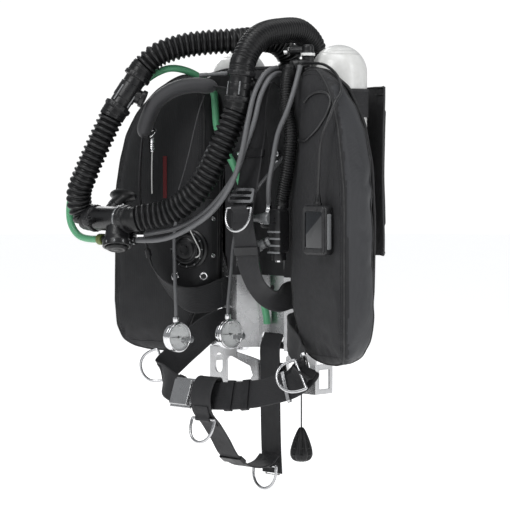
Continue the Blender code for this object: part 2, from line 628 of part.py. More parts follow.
def make_loop(mat):
    rubber = mat["rubber"]
    left = MOUTH - Vector((MOUTH_HALF, 0, 0))
    right = MOUTH + Vector((MOUTH_HALF, 0, 0))
    down_left = (TEE_LEFT_LOW - TEE_LEFT_HIGH).normalized()
    down_right = (TEE_RIGHT_LOW - TEE_RIGHT_HIGH).normalized()
    hose("loop_hose_exhale_front", [
        tuple(TEE_LEFT_LOW), tuple(TEE_LEFT_LOW + down_left * 14), (-211, -202, 196), (-228, -214, 150),
        (-247, -216, 110), (-252, -208, 84), (-247, -202, 70), (left.x - 13, -200, 66), tuple(left)],
        LOOP_HOSE_DIAMETER, rubber, 3)
    hose("loop_hose_exhale_rear", [
        tuple(TEE_LEFT_HIGH), tuple(TEE_LEFT_HIGH - down_left * 12), (-146, -120, 358), (-120, -86, 375),
        (-88, -48, 383), (-58, -10, 386), (-44, 40, 390), (-36, 84, 384), (-32, 106, 364),
        (-PORT_X, PORT_Y, PORT_TOP + 12), (-PORT_X, PORT_Y, PORT_TOP + GAP)], LOOP_HOSE_DIAMETER, rubber, 3)
    hose("loop_hose_inhale_front", [
        tuple(right), (right.x + 13, -200, 66), (-96, -190, 70), (-58, -168, 80), (-12, -148, 114),
        (14, -132, 162), (34, -116, 216), tuple(TEE_RIGHT_LOW + down_right * 12), tuple(TEE_RIGHT_LOW)],
        LOOP_HOSE_DIAMETER, rubber, 3)
    hose("loop_hose_inhale_rear", [
        tuple(TEE_RIGHT_HIGH), tuple(TEE_RIGHT_HIGH - down_right * 12), (46, -76, 362), (42, -46, 386),
        (38, 14, 401), (34, 72, 400), (32, 104, 376), (PORT_X, PORT_Y, PORT_TOP + 12),
        (PORT_X, PORT_Y, PORT_TOP + GAP)], LOOP_HOSE_DIAMETER, rubber, 3)
    make_tee("tee_right", TEE_RIGHT_LOW, TEE_RIGHT_HIGH, (0.3, 1, 0), mat)
    make_tee("tee_left", TEE_LEFT_LOW, TEE_LEFT_HIGH, (0.8, 0.7, -0.5), mat)


def make_mouthpiece(mat):
    plastic = mat["plastic"]
    h = MOUTH_HALF - GAP
    body = turned("mouthpiece_housing", [(-h, 24), (-h + 10, 24), (-h + 11, 20), (-h + 16, 22), (h - 26, 22),
                                         (h - 25, 25), (h - 12, 25), (h - 11, 24), (h, 24)],
                  MOUTH, (1, 0, 0), plastic, 20)
    join(body,
         turned("bowl", [(0, 20), (20, 22), (28, 26), (38, 26)], BOWL, PURGE_OUT, plastic, 22),
         turned("bite_stub", [(0, 13), (30, 13)], MOUTH + Vector((-18, 0, 0)), (0, 0.75, 0.7), plastic, 12),
         turned("port_left", [(0, 8), (56, 8)], MOUTH + Vector((16, 4, -38)), (-1, 0, 0), plastic, 10),
         turned("port_right", [(0, 8), (40, 8)], MOUTH + Vector((10, 4, -38)), (1, 0.3, 0), plastic, 10))
    cut(body, turned("purge_recess", [(32, 20.8), (60, 20.8)], BOWL, PURGE_OUT, plastic, 22))
    bite_axis = Vector((0, 0.75, 0.7)).normalized()
    start = MOUTH + Vector((-18, 0, 0)) + bite_axis * (30 + GAP)
    bm = bmesh.new()
    side = Vector((1, 0, 0))
    other = bite_axis.cross(side)
    rings = []
    for along, wide, tall in ((0, 15, 13), (14, 16, 12), (22, 22, 11), (26, 33, 14), (32, 33, 14),
                              (34, 24, 8)):
        rings.append([start + bite_axis * along + side * wide * math.cos(2 * math.pi * k / 20)
                      + other * tall * math.sin(2 * math.pi * k / 20) for k in range(20)])
    skin_rings(bm, rings)
    bite = finish_mesh("mouthpiece_bite", bm, mat["rubber"])
    cut(bite, turned("bite_bore", [(8, 8), (60, 8)], start, bite_axis, mat["rubber"], 12))
    lever = turned("mouthpiece_lever", [(0, 6), (7, 6), (9, 9), (19, 9), (21, 6)],
                   MOUTH + LEVER_OUT * (22 + GAP) + Vector((LEVER_X, 0, 0)), LEVER_OUT, plastic, 16)
    pivot(lever, MOUTH)


def make_purge(mat):
    at = BOWL + PURGE_OUT * 35.8
    pivot(turned("purge_button", [(0, 20), (5, 20), (8, 15)], at, PURGE_OUT, mat["rubber"], 20), at)


# ---------------------------------------------------------------- inflator, gauges, handset, hoses

INFLATOR = Vector((108, -64, 0))


def make_inflator(mat):
    x, y = INFLATOR.x, INFLATOR.y
    hose("inflator_hose", [
        (92, -20, 332), (95, -24, 325), (108, -42, 304), (118, -53, 262), (134, -60, 220), (128, -60, 160),
        (117, -58, 122), (110.4, -56, 100), (110, -56, 87)], 24.0, mat["rubber"])
    body = box("inflator_body", (x - 13, y - 12, -4), (x + 15, y + 14, 86), mat["plastic"], 4)
    join(body, box("button_block", (x - 34, y - 14, 52), (x - 8, y + 8, 78), mat["plastic"], 3))
    cut(body, box("inflate_well", (x - 30, y - 30, 58), (x - 16, y - 8, 72), mat["plastic"]),
        box("deflate_well", (x - 6, y - 6, -20), (x + 8, y + 8, 8), mat["plastic"]))
    for name, at, out, radius, length in (("inflate_button", (x - 23, y - 11.4, 65), (0, -1, 0), 6.0, 6.6),
                                          ("deflate_button", (x + 1, y + 1, 4.6), (0, 0, -1), 6.2, 12.0)):
        pivot(turned(name, [(0, radius), (length, radius)], at, out, mat["chrome"], 16), at)
    hose("lp_hose_inflator", [
        (130, -32, 334), (133, -40, 318), (142, -62, 285), (140, -74, 255), (128, -82, 222), (118, -88, 165),
        (101, -80, 125), (88, -67, 94), (88, -67, 78 + GAP)], LP_HOSE_DIAMETER, mat["grey_hose"])


GAUGE_RADIUS = 27.0
GAUGES = {
    # side: centre of the gauge's back, facing
    "right": (Vector((-107, -114, -147)), Vector((1.0, -0.06, 0)).normalized()),
    "left": (Vector((-56, -33, -143)), Vector((1.0, -0.12, 0)).normalized()),
}


def make_gauge(side, mat):
    """Pressure gauge: case with a recessed dial, and a needle on its axis."""
    centre, facing = GAUGES[side]
    r = GAUGE_RADIUS
    case = turned(f"gauge_{side}", [(0, r - 4), (3, r - 1), (6, r), (18, r), (20, r - 2)], centre, facing,
                  mat["chrome"], 22)
    cut(case, turned(f"dial_recess_{side}", [(14, r - 4), (30, r - 4)], centre, facing, mat["dial"], 22))
    join(case, turned(f"stub_{side}", [(0, 7), (26, 7), (27, 5), (36, 5)], centre + facing * 8, (0, 0, 1),
                      mat["chrome"], 12))
    cut(case, turned(f"stub_clear_{side}", [(14, r - 4), (30, r - 4)], centre, facing, mat["dial"], 22))
    across_face = facing.cross(Vector((0, 0, 1))).normalized()
    at = centre + facing * (14 + GAP)
    needle = turned(f"gauge_needle_{side}", [(0, 2.4), (1.6, 2.4)], at, facing, mat["needle"], 12)
    pointer = turned(f"pointer_{side}", [(-6, 0.8), (17, 0.5)], at + facing * 0.9, across_face,
                     mat["needle"], 6)
    join(needle, pointer)
    pivot(needle, centre)


def make_gauge_hoses(mat):
    """Each runs from a first stage up behind the plate's wing, round its shoulder and down in front."""
    right, left = (GAUGES[s][0] + GAUGES[s][1] * 8 for s in ("right", "left"))
    hose("gauge_hose_right", [
        (-101.3, 28.6, -149.8), (-94, 28.6, -144.7), (-86, 26, -100), (-83, 28, 0), (-84, 28, 120),
        (-90, 22, 178),
        (-93, 6, 203), (-95, -14, 204), (-98, -30, 196), (-102, -42, 172), (-110, -52, 146), (-120, -60, 120),
        (-131, -68, 96), (-138, -75, 70), (-140, -79, 44), (-139, -82, 18), (-124, -95, -12),
        (-110, -107, -42),
        (right.x, right.y, right.z + 52),
        (right.x, right.y, right.z + 36 + GAP)], GAUGE_HOSE_DIAMETER, mat["grey_hose"])
    hose("gauge_hose_left", [
        (101.3, 28.6, -149.8), (94, 28.6, -144.7), (86, 26, -100), (83, 28, 0), (84, 28, 120), (90, 22, 172),
        (92, 4, 190), (84, -12, 184), (58, -18, 160), (16, -14, 128), (-24, -14, 84), (-43, -22, 30),
        (-46, -28, -30), (left.x, left.y, left.z + 52), (left.x, left.y, left.z + 36 + GAP)],
        GAUGE_HOSE_DIAMETER, mat["grey_hose"])


def make_mouthpiece_hoses(mat):
    low = MOUTH + Vector((0, 4, -38))
    port = low + Vector((-40 - GAP, 0, 0))
    hose("oxygen_hose", [
        (-4, 22, -126), (-4, 22, -116), (-8, 19, -92), (-15, 13, -50), (-22, 6, 10), (-32, -2, 90),
        (-52, -14, 160), (-76, -20, 200), (-87, -24, 232), (-91, -24, 268), (-95, -25, 296), (-106, -40, 316),
        (-122, -68, 333), (-138, -91, 337), (-162, -100, 330), (-190, -114, 310), (-223, -146, 262),
        (-246, -172, 212), (-266, -188, 162), (-284, -198, 118),
        (-290, -202, 84), (-286, -202, 54), (-268, -200, 34), (-240, -197, 28), (port.x - 4, port.y, port.z),
        tuple(port)], OXYGEN_HOSE_DIAMETER, mat["green_hose"])
    along = Vector((1, 0.3, 0)).normalized()
    end = MOUTH + Vector((10, 4, -38)) + along * (40 + GAP)
    near = end + along * 10
    hose("lp_hose_mouthpiece", [
        tuple(end), tuple(near), (-100, -172, 28), (-66, -160, 34), (-30, -148, 50), (8, -137, 74),
        (42, -132, 106),
        (68, -130, 143), (78, -122, 187), (80, -110, 239), (76, -88, 290), (74, -66, 318), (70, -44, 330),
        (66, -24, 333)], LP_HOSE_DIAMETER, mat["grey_hose"])


def make_handset(mat):
    case = box("handset", (213, -113, 10), (263, -89, 94), mat["plastic"], 4)
    join(case, box("side_key", (262, -104, 22), (265, -98, 78), mat["plastic"]))
    cut(case, box("screen_recess", (219, -120, 18), (257, -110, 80), mat["plastic"]))
    box("handset_screen", (219 + GAP, -112, 18 + GAP), (257 - GAP, -110 - GAP, 80 - GAP), mat["screen"])
    hose("handset_cable", [
        (88, 0, 340), (104, -2, 340), (124, -4, 340), (166, -10, 336), (206, -22, 318), (240, -46, 288),
        (260, -86, 262),
        (258, -98, 236), (252, -108, 206), (246, -106, 168), (240, -102, 124), (238, -101, 104),
        (238, -101, 94 + GAP)], CABLE_DIAMETER, mat["rubber"])


def make_dump_valve(mat):
    """Round over-pressure valve on the right counterlung, square to its front."""
    x = 138.0
    facing = Vector((0.31, -0.95, 0)).normalized()
    at = Vector((-x, lung_front(x), 8)) + facing * GAP
    turned("dump_valve", [(0, 38), (5, 38), (7, 34), (13, 33), (14, 27), (20, 26), (22, 20)], at, facing,
           mat["plastic"], 20)


PULL = (136.0, -34.0, -152.0, 144.0)    # x, y and top of the cord under the left counterlung, and its length


def make_pull(mat):
    """Pull cord of the lower dump valve, with its fluted knob, hanging free."""
    x, y, top, length = PULL
    cord = turned("pull_cord", [(0, 1.5), (length, 1.5)], (x, y, top), (0, 0, -1), mat["webbing"], 8)
    knob = turned("pull_knob", [(0, 4), (6, 8), (22, 15), (38, 20), (48, 21), (56, 17), (60, 9)],
                  (x, y, top - length - GAP), (0, 0, -1), mat["rubber"], 20)
    for piece in (cord, knob):
        pivot(piece, (x, y, top))


def main():
    clear_scene()
    mat = make_finishes()
    make_backplate(mat)
    make_stand(mat)
    make_canister(mat)
    make_cover_and_band(mat)
    for side, sign in (("left", 1), ("right", -1)):
        make_cylinder(side, sign, mat)
        make_counterlung(side, sign, mat)
        make_gauge(side, mat)
    make_wing(mat)
    make_harness(mat)
    for name, (bar, side, down) in RINGS.items():
        make_ring(name, bar, side, down, mat)
    make_buckle(mat)
    make_triglide(mat)
    make_loop(mat)
    make_mouthpiece(mat)
    make_purge(mat)
    make_inflator(mat)
    make_gauge_hoses(mat)
    make_mouthpiece_hoses(mat)
    make_handset(mat)
    make_dump_valve(mat)
    make_pull(mat)


main()
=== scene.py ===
import math

import bmesh
import bpy
import numpy as np
from mathutils import Matrix, Vector, noise
from mathutils.bvhtree import BVHTree


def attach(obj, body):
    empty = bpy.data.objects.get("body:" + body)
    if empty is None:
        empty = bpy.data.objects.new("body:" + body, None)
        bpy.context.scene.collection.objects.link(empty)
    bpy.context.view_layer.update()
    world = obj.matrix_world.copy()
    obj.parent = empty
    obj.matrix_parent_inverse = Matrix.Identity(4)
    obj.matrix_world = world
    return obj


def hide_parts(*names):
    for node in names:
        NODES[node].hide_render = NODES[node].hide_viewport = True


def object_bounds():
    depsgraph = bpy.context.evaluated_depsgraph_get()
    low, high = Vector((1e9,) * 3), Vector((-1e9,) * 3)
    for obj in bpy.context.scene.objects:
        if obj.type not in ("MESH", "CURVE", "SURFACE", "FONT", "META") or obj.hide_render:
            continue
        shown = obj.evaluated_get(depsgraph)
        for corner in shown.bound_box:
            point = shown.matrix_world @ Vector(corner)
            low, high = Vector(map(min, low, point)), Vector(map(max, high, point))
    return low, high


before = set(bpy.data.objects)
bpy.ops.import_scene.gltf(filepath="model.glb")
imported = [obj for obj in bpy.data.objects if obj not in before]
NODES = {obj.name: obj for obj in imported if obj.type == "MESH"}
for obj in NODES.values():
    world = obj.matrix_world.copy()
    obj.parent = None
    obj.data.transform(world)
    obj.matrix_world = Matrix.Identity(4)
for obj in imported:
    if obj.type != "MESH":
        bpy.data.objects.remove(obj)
CAD_LOW, CAD_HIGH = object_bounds()

# The looks of a back-mounted rebreather with its buoyancy vest. Lengths are millimetres and MM turns
# them into metres. The frame is the CAD's own: the diver faces -Y, +X is the diver's left, +Z is up.

MM = 0.001
UNIT = "unit"
UP, DOWN, FRONT, LEFT, RIGHT = (0, 0, 1), (0, 0, -1), (0, -1, 0), (1, 0, 0), (-1, 0, 0)


# ---------------------------------------------------------------- camera, light and floor

TARGET = Vector((-6.4, -6.4, 0.0)) * MM
AZIMUTH, ELEVATION, DISTANCE, LENS = 45.0, 2.5, 3.8, 149.0
AMBIENT, BACKDROP, FLOOR_GLOW = 0.34, 1.05, 0.72
FLOOR_RADIUS = 14.0            # metres
FLOOR_GAP = 4.0                # below the lowest point of the CAD
SOFT_BOXES = [
    # name, azimuth, elevation, distance, width and height in metres, watts
    ("key", 5, 40, 2.6, (1.0, 1.4), 26),
    ("fill", 100, 20, 2.6, (0.6, 1.8), 15),
    ("top", 45, 80, 2.4, (1.6, 1.6), 20),
    ("rim", -120, 30, 3.0, (1.0, 1.6), 16),
]


def place(name, data):
    """An object in the scene for this data."""
    obj = bpy.data.objects.new(name, data)
    bpy.context.scene.collection.objects.link(obj)
    return obj


def direction(azimuth, elevation):
    """From the object towards a viewer at this azimuth and elevation."""
    a, e = math.radians(azimuth), math.radians(elevation)
    return Vector((math.sin(a) * math.cos(e), -math.cos(a) * math.cos(e), math.sin(e)))


def aim(obj, azimuth, elevation, distance):
    back = direction(azimuth, elevation)
    obj.location = TARGET + back * distance
    obj.rotation_mode = "QUATERNION"
    obj.rotation_quaternion = (-back).to_track_quat("-Z", "Y")
    return obj


def make_camera():
    """The camera, in front of the object to its left and a little above."""
    data = bpy.data.cameras.new("camera")
    data.lens, data.sensor_width = LENS, 36.0
    bpy.context.scene.camera = aim(place("camera", data), AZIMUTH, ELEVATION, DISTANCE)


def soft_light(name, azimuth, elevation, distance, size, power):
    data = bpy.data.lights.new(name, "AREA")
    data.shape = "RECTANGLE"
    data.size, data.size_y = size
    data.energy = power
    aim(place(name, data), azimuth, elevation, distance)


def make_world():
    """A white backdrop for the camera, and dimmer light from all round for everything else."""
    world = bpy.data.worlds.new("studio")
    world.use_nodes = True
    tree = world.node_tree
    sky = tree.nodes["Background"]
    sky.inputs["Color"].default_value = (0.94, 0.97, 1.0, 1.0)
    sky.inputs["Strength"].default_value = AMBIENT
    backdrop = tree.nodes.new("ShaderNodeBackground")
    backdrop.inputs["Strength"].default_value = BACKDROP
    backdrop.inputs["Color"].default_value = (1.0, 1.0, 1.0, 1.0)
    seen = tree.nodes.new("ShaderNodeLightPath")
    mix = tree.nodes.new("ShaderNodeMixShader")
    tree.links.new(seen.outputs["Is Camera Ray"], mix.inputs[0])
    tree.links.new(sky.outputs[0], mix.inputs[1])
    tree.links.new(backdrop.outputs[0], mix.inputs[2])
    tree.links.new(mix.outputs[0], tree.nodes["World Output"].inputs["Surface"])
    return world


def make_floor():
    """A pale floor that glows enough to meet the backdrop without an edge."""
    bm = bmesh.new()
    bmesh.ops.create_circle(bm, cap_ends=True, segments=96, radius=FLOOR_RADIUS)
    mesh = bpy.data.meshes.new("floor")
    bm.to_mesh(mesh)
    bm.free()
    floor = place("floor", mesh)
    floor.location.z = CAD_LOW.z - FLOOR_GAP * MM
    mesh.materials.append(finish(
        "pale_floor", (0.8, 0.8, 0.8), 0.7, vary=0.01, patch=3.0, Emission_Color=(1.0, 1.0, 1.0, 1.0),
        Emission_Strength=FLOOR_GLOW))


def make_studio():
    """The backdrop, four soft boxes and a pale floor under the straps."""
    scene = bpy.context.scene
    scene.view_settings.view_transform = "Standard"
    scene.world = make_world()
    for box in SOFT_BOXES:
        soft_light(*box)
    make_floor()


# ---------------------------------------------------------------- materials

WAVE_BAND = 0.31416            # metres between the bands of a wave texture whose scale is 1


class Graph:
    """A material and the node sockets that its pattern is made from."""

    def __init__(self, name, metallic, fixed):
        self.material = bpy.data.materials.new(name)
        self.material.use_nodes = True
        self.tree = self.material.node_tree
        self.shader = self.tree.nodes["Principled BSDF"]
        self.shader.inputs["Metallic"].default_value = metallic
        for socket, value in fixed.items():
            self.shader.inputs[socket.replace("_", " ")].default_value = value
        self.where = self.node("TexCoord").outputs["Object"]
        self.along = self.node("UVMap", uv_map="length").outputs["UV"]

    def node(self, kind, inputs=None, **settings):
        made = self.tree.nodes.new("ShaderNode" + kind)
        for key, value in settings.items():
            setattr(made, key, value)
        for key, value in (inputs or {}).items():
            self.feed(made.inputs[key], value)
        return made

    def feed(self, socket, value):
        if isinstance(value, bpy.types.NodeSocket):
            self.tree.links.new(value, socket)
        else:
            socket.default_value = value

    def stretched(self, source, scale):
        return self.node("Mapping", {"Vector": source, "Scale": scale}).outputs["Vector"]

    def noise(self, scale, detail=3.0, stretch=None):
        source = self.stretched(self.where, stretch) if stretch else self.where
        return self.node("TexNoise", {"Vector": source, "Scale": scale, "Detail": detail}).outputs["Fac"]

    def waves(self, pitch, way, source=None, wobble=0.0):
        """Bands a pitch apart, in millimetres."""
        scale = WAVE_BAND / (pitch * MM) * (2 if way == "DIAGONAL" else 1)
        inputs = {"Vector": source or self.where, "Scale": scale, "Distortion": wobble}
        return self.node("TexWave", inputs, bands_direction=way).outputs["Fac"]

    def work(self, operation, a, b):
        return self.node("Math", {0: a, 1: b}, operation=operation).outputs[0]

    def spread(self, factor, low, high, start=0.0, stop=1.0):
        inputs = {"Value": factor, "From Min": start, "From Max": stop, "To Min": low, "To Max": high}
        return self.node("MapRange", inputs).outputs["Result"]

    def tint(self, factor, dark, light):
        mix = self.node("Mix", data_type="RGBA")
        for socket, value in ((mix.inputs[0], factor), (mix.inputs[6], dark), (mix.inputs[7], light)):
            self.feed(socket, value)
        return mix.outputs[2]

    def edges(self, start, stop):
        """1 on sharp outer edges, broken up by noise."""
        pointy = self.node("NewGeometry").outputs["Pointiness"]
        return self.work("MULTIPLY", self.spread(pointy, 0.0, 1.0, start, stop), self.noise(90.0, 4.0))


def shade(colour, factor):
    return (*(min(1.0, c * factor) for c in colour), 1.0)


def finish(name, colour, roughness, metallic=0.0, vary=0.2, patch=30.0, rough_vary=0.05, wear=None,
           worn_from=0.53, relief=(), stripes=None, **fixed):
    """A material with drifting colour and roughness, worn edges and relief; fixed are shader sockets."""
    g = Graph(name, metallic, fixed)
    base = g.tint(g.noise(patch, 5.0), shade(colour, 1 - vary), shade(colour, 1 + vary))
    if stripes:
        pattern, amount = stripes
        base = g.tint(g.spread(pattern(g), 0.0, amount), base, shade(colour, 2.2))
    if wear:
        base = g.tint(g.edges(worn_from, worn_from + 0.06), base, (*wear, 1.0))
    g.feed(g.shader.inputs["Base Color"], base)
    rough = g.spread(g.noise(patch * 4, 4.0), roughness - rough_vary, roughness + rough_vary, 0.3, 0.7)
    g.feed(g.shader.inputs["Roughness"], rough)
    normal = None
    for height, distance in relief:
        bump = g.node("Bump", {"Height": height(g), "Distance": distance * MM, "Strength": 0.8})
        if normal:
            g.feed(bump.inputs["Normal"], normal)
        normal = bump.outputs["Normal"]
    if normal:
        g.feed(g.shader.inputs["Normal"], normal)
    return g.material


def weave(pitch):
    """Threads crossing on any face, from bands along all three axes."""
    def height(g):
        total = g.work("ADD", g.waves(pitch, "X", wobble=0.6), g.waves(pitch, "Y", wobble=0.6))
        return g.work("MULTIPLY", g.work("ADD", total, g.waves(pitch, "Z", wobble=0.6)), 0.4)
    return height


def twill(across, along):
    """Ribs along webbing, broken by its weft."""
    def height(g):
        ribs = g.waves(across, "X", g.along)
        return g.work("MULTIPLY", g.work("ADD", ribs, g.waves(along, "Y", g.along, 0.4)), 0.5)
    return height


def braid(pitch):
    """Threads wound both ways round a hose or cord."""
    def height(g):
        one = g.waves(pitch, "DIAGONAL", g.along)
        other = g.waves(pitch, "DIAGONAL", g.stretched(g.along, (-1, 1, 1)))
        return g.work("MAXIMUM", one, other)
    return height


def grain(scale, detail=6.0, stretch=None):
    return lambda g: g.noise(scale, detail, stretch)


def make_finishes():
    """Every material of the unit, by the short name that the shells use."""
    dust = (0.10, 0.10, 0.10)
    return {
        "nylon": finish("nylon_fabric", (0.0145, 0.0145, 0.0158), 0.64, vary=0.35, patch=9.0, rough_vary=0.09,
                        relief=((weave(1.5), 0.22), (grain(55.0), 1.2)), stripes=(weave(1.5), 0.25),
                        Sheen_Weight=0.08, Sheen_Roughness=0.4, Specular_IOR_Level=0.3),
        # the same nylon made lighter for the counterlungs' outward sides: painted light on the lit faces, not
        # another fabric
        "lit_side_nylon": finish("nylon_with_painted_light", (0.031, 0.0317, 0.0345), 0.55, vary=0.25, patch=8.0,
                        rough_vary=0.08, relief=((weave(1.5), 0.16), (grain(40.0), 1.0)),
                        stripes=(weave(1.5), 0.2), Sheen_Weight=0.06, Sheen_Roughness=0.4,
                        Specular_IOR_Level=0.3),
        "foam": finish("knit_covered_foam", (0.046, 0.046, 0.049), 0.56, vary=0.2, patch=14.0,
                       relief=((weave(1.1), 0.12), (grain(70.0), 0.6)), Sheen_Weight=0.1,
                       Specular_IOR_Level=0.25),
        "binding": finish("edge_binding", (0.0085, 0.0085, 0.0095), 0.55, vary=0.3,
                          relief=((braid(2.4), 0.3),), wear=dust, Specular_IOR_Level=0.3),
        "webbing": finish("ribbed_webbing", (0.0125, 0.0125, 0.0138), 0.6, vary=0.3, patch=16.0,
                          relief=((twill(3.1, 1.9), 0.45), (grain(120.0), 0.4)),
                          stripes=(twill(3.1, 1.9), 0.4), wear=(0.045, 0.045, 0.047), worn_from=0.52,
                          Sheen_Weight=0.05, Specular_IOR_Level=0.28),
        "thread": finish("stitching_thread", (0.028, 0.028, 0.03), 0.55, relief=((braid(0.8), 0.1),)),
        "rubber": finish("loop_rubber", (0.0075, 0.0075, 0.008), 0.36, vary=0.3, patch=22.0, rough_vary=0.08,
                         relief=((grain(420.0), 0.05),), wear=(0.028, 0.028, 0.03), Specular_IOR_Level=0.3),
        "plastic": finish("moulded_plastic", (0.009, 0.009, 0.0098), 0.34, vary=0.3, patch=26.0,
                          rough_vary=0.09, relief=((grain(700.0), 0.05),), wear=(0.05, 0.05, 0.052),
                          Specular_IOR_Level=0.4),
        "bright": finish("grey_delrin", (0.16, 0.165, 0.17), 0.3, vary=0.2, patch=30.0,
                         relief=((grain(600.0), 0.04),), wear=(0.3, 0.3, 0.31)),
        "steel": finish("brushed_steel", (0.46, 0.46, 0.465), 0.27, 1.0, vary=0.08, patch=9.0,
                        rough_vary=0.04, relief=((grain(260.0, 5.0, (1, 1, 0.03)), 0.1),),
                        wear=(0.6, 0.6, 0.61)),
        "chrome": finish("polished_chrome", (0.70, 0.70, 0.71), 0.14, 1.0, vary=0.1, patch=40.0,
                         rough_vary=0.05, relief=((grain(90.0), 0.04),), wear=(0.9, 0.9, 0.9)),
        "wire": finish("welded_wire", (0.52, 0.52, 0.53), 0.24, 1.0, vary=0.18, patch=60.0, rough_vary=0.1,
                       relief=((grain(300.0), 0.05),)),
        "paint": finish("white_cylinder_paint", (0.78, 0.78, 0.77), 0.34, vary=0.03, patch=6.0,
                        rough_vary=0.06, relief=((grain(150.0), 0.08),), wear=(0.6, 0.6, 0.58),
                        Coat_Weight=0.3),
        "grey_hose": finish("grey_braided_hose", (0.085, 0.086, 0.09), 0.36, vary=0.18, patch=40.0,
                            relief=((braid(2.2), 0.14),), stripes=(braid(2.2), 0.35)),
        "black_hose": finish("black_cable_jacket", (0.013, 0.013, 0.014), 0.34, vary=0.2,
                             relief=((grain(500.0), 0.04),), wear=dust),
        "green_hose": finish("green_oxygen_hose", (0.085, 0.30, 0.155), 0.38, vary=0.16, patch=18.0,
                             relief=((braid(2.6), 0.12),), stripes=(braid(2.6), 0.12)),
        "green": finish("yellow_green_plastic", (0.11, 0.14, 0.03), 0.45, vary=0.2,
                        relief=((grain(500.0), 0.05),), wear=(0.2, 0.22, 0.1)),
        "dial": finish("gauge_face", (0.74, 0.75, 0.75), 0.45, vary=0.03, relief=((grain(900.0), 0.02),)),
        "ink": finish("dial_ink", (0.012, 0.012, 0.012), 0.4, vary=0.2),
        "glass": finish("window_glass", (0.8, 0.82, 0.82), 0.04, vary=0.02, rough_vary=0.02, Alpha=0.1),
        "screen": finish("dark_display", (0.006, 0.007, 0.009), 0.09, vary=0.3, rough_vary=0.04,
                         Coat_Weight=0.6),
        "cord": finish("braided_cord", (0.05, 0.05, 0.052), 0.6, relief=((braid(1.4), 0.2),),
                       stripes=(braid(1.4), 0.5)),
        "white_cord": finish("pale_bungee", (0.46, 0.46, 0.45), 0.5, relief=((braid(1.2), 0.2),),
                             stripes=(braid(1.2), 0.2)),
        "red": finish("red_tab_cloth", (0.12, 0.006, 0.008), 0.7, vary=0.3, relief=((weave(1.0), 0.2),)),
    }


# ---------------------------------------------------------------- lines and shells

def smooth(points):
    """A dense curve through the points, the same one that the CAD's hoses and straps follow."""
    points = np.array(points, float)
    chords = np.linalg.norm(np.diff(points[:, :3], axis=0), axis=1)
    slopes = np.diff(points, axis=0) / chords[:, None]
    tangents = np.empty_like(points)
    tangents[0], tangents[-1] = slopes[0], slopes[-1]
    before, after = chords[:-1, None], chords[1:, None]
    tangents[1:-1] = (slopes[:-1] * after + slopes[1:] * before) / (before + after)
    fine = []
    for i, chord in enumerate(chords):
        t = np.linspace(0, 1, 24, endpoint=i == len(chords) - 1)[:, None]
        fine.append(
            (2 * t**3 - 3 * t**2 + 1) * points[i] + (t**3 - 2 * t**2 + t) * chord * tangents[i]
            + (3 * t**2 - 2 * t**3) * points[i + 1] + (t**3 - t**2) * chord * tangents[i + 1]
        )
    return np.concatenate(fine)


def reach(line):
    """Distance along a line at each of its points."""
    return np.concatenate([[0.0], np.cumsum(np.linalg.norm(np.diff(line[:, :3], axis=0), axis=1))])


def even(line, step):
    """The line again with points an even step apart."""
    line = np.array(line, float)
    along = reach(line)
    count = max(2, int(round(along[-1] / step)) + 1)
    wanted = np.linspace(0, along[-1], count)
    return np.stack([np.interp(wanted, along, line[:, k]) for k in range(line.shape[1])], axis=1)


def relax(line, rounds):
    """Takes the small kinks out of a line and keeps its two ends."""
    line = line.copy()
    for _ in range(rounds):
        line[1:-1] = line[1:-1] * 0.5 + (line[:-2] + line[2:]) * 0.25
    return line


def hose_line(route, step=3.0):
    """The middle line of a hose, with its straight ends kept."""
    inner = smooth(route[1:-1])
    whole = np.array([route[0], *inner, route[-1]], float)
    return relax(even(whole, step), 6)


def across(heading):
    """Two directions square to a heading and to each other."""
    helper = Vector(UP) if abs(heading.z) < 0.9 else Vector(LEFT)
    side = heading.cross(helper).normalized()
    return side, heading.cross(side).normalized()


def spokes(axis, count, first=0.0):
    """Directions square to an axis, evenly spread round it; first is in degrees."""
    side, other = across(axis)
    angles = [math.radians(first) + 2 * math.pi * k / count for k in range(count)]
    return [side * math.cos(a) + other * math.sin(a) for a in angles]


def frames(line, first=None):
    """Place, heading and two directions across it for each point, carried along without twist."""
    points = [Vector(p) for p in line]
    side = Vector(first) if first is not None else across((points[1] - points[0]).normalized())[0]
    found = []
    for i, point in enumerate(points):
        ahead = (points[min(i + 1, len(points) - 1)] - points[max(i - 1, 0)]).normalized()
        side = (side - ahead * side.dot(ahead)).normalized()
        found.append((point, ahead, side, ahead.cross(side)))
    return found


def softened(profile, radius):
    """The profile with each corner rounded."""
    points = [Vector(p) for p in profile]
    out = [points[0]]
    for before, corner, after in zip(points, points[1:], points[2:]):
        room = min((corner - before).length, (after - corner).length) * 0.45
        cutback = min(radius, room)
        first = corner + (before - corner).normalized() * cutback
        last = corner + (after - corner).normalized() * cutback
        for k in range(4):
            t = k / 3
            out.append(first.lerp(corner, t).lerp(corner.lerp(last, t), t))
    return out + [points[-1]]


def rounded(half_x, half_z, radius, steps=6):
    """Corners of a rounded rectangle about the middle, counter-clockwise."""
    points = []
    for sx, sz, first in ((1, -1, -90), (1, 1, 0), (-1, 1, 90), (-1, -1, 180)):
        for k in range(steps + 1):
            a = math.radians(first + 90 * k / steps)
            points.append((sx * (half_x - radius) + radius * math.cos(a),
                           sz * (half_z - radius) + radius * math.sin(a)))
    return points


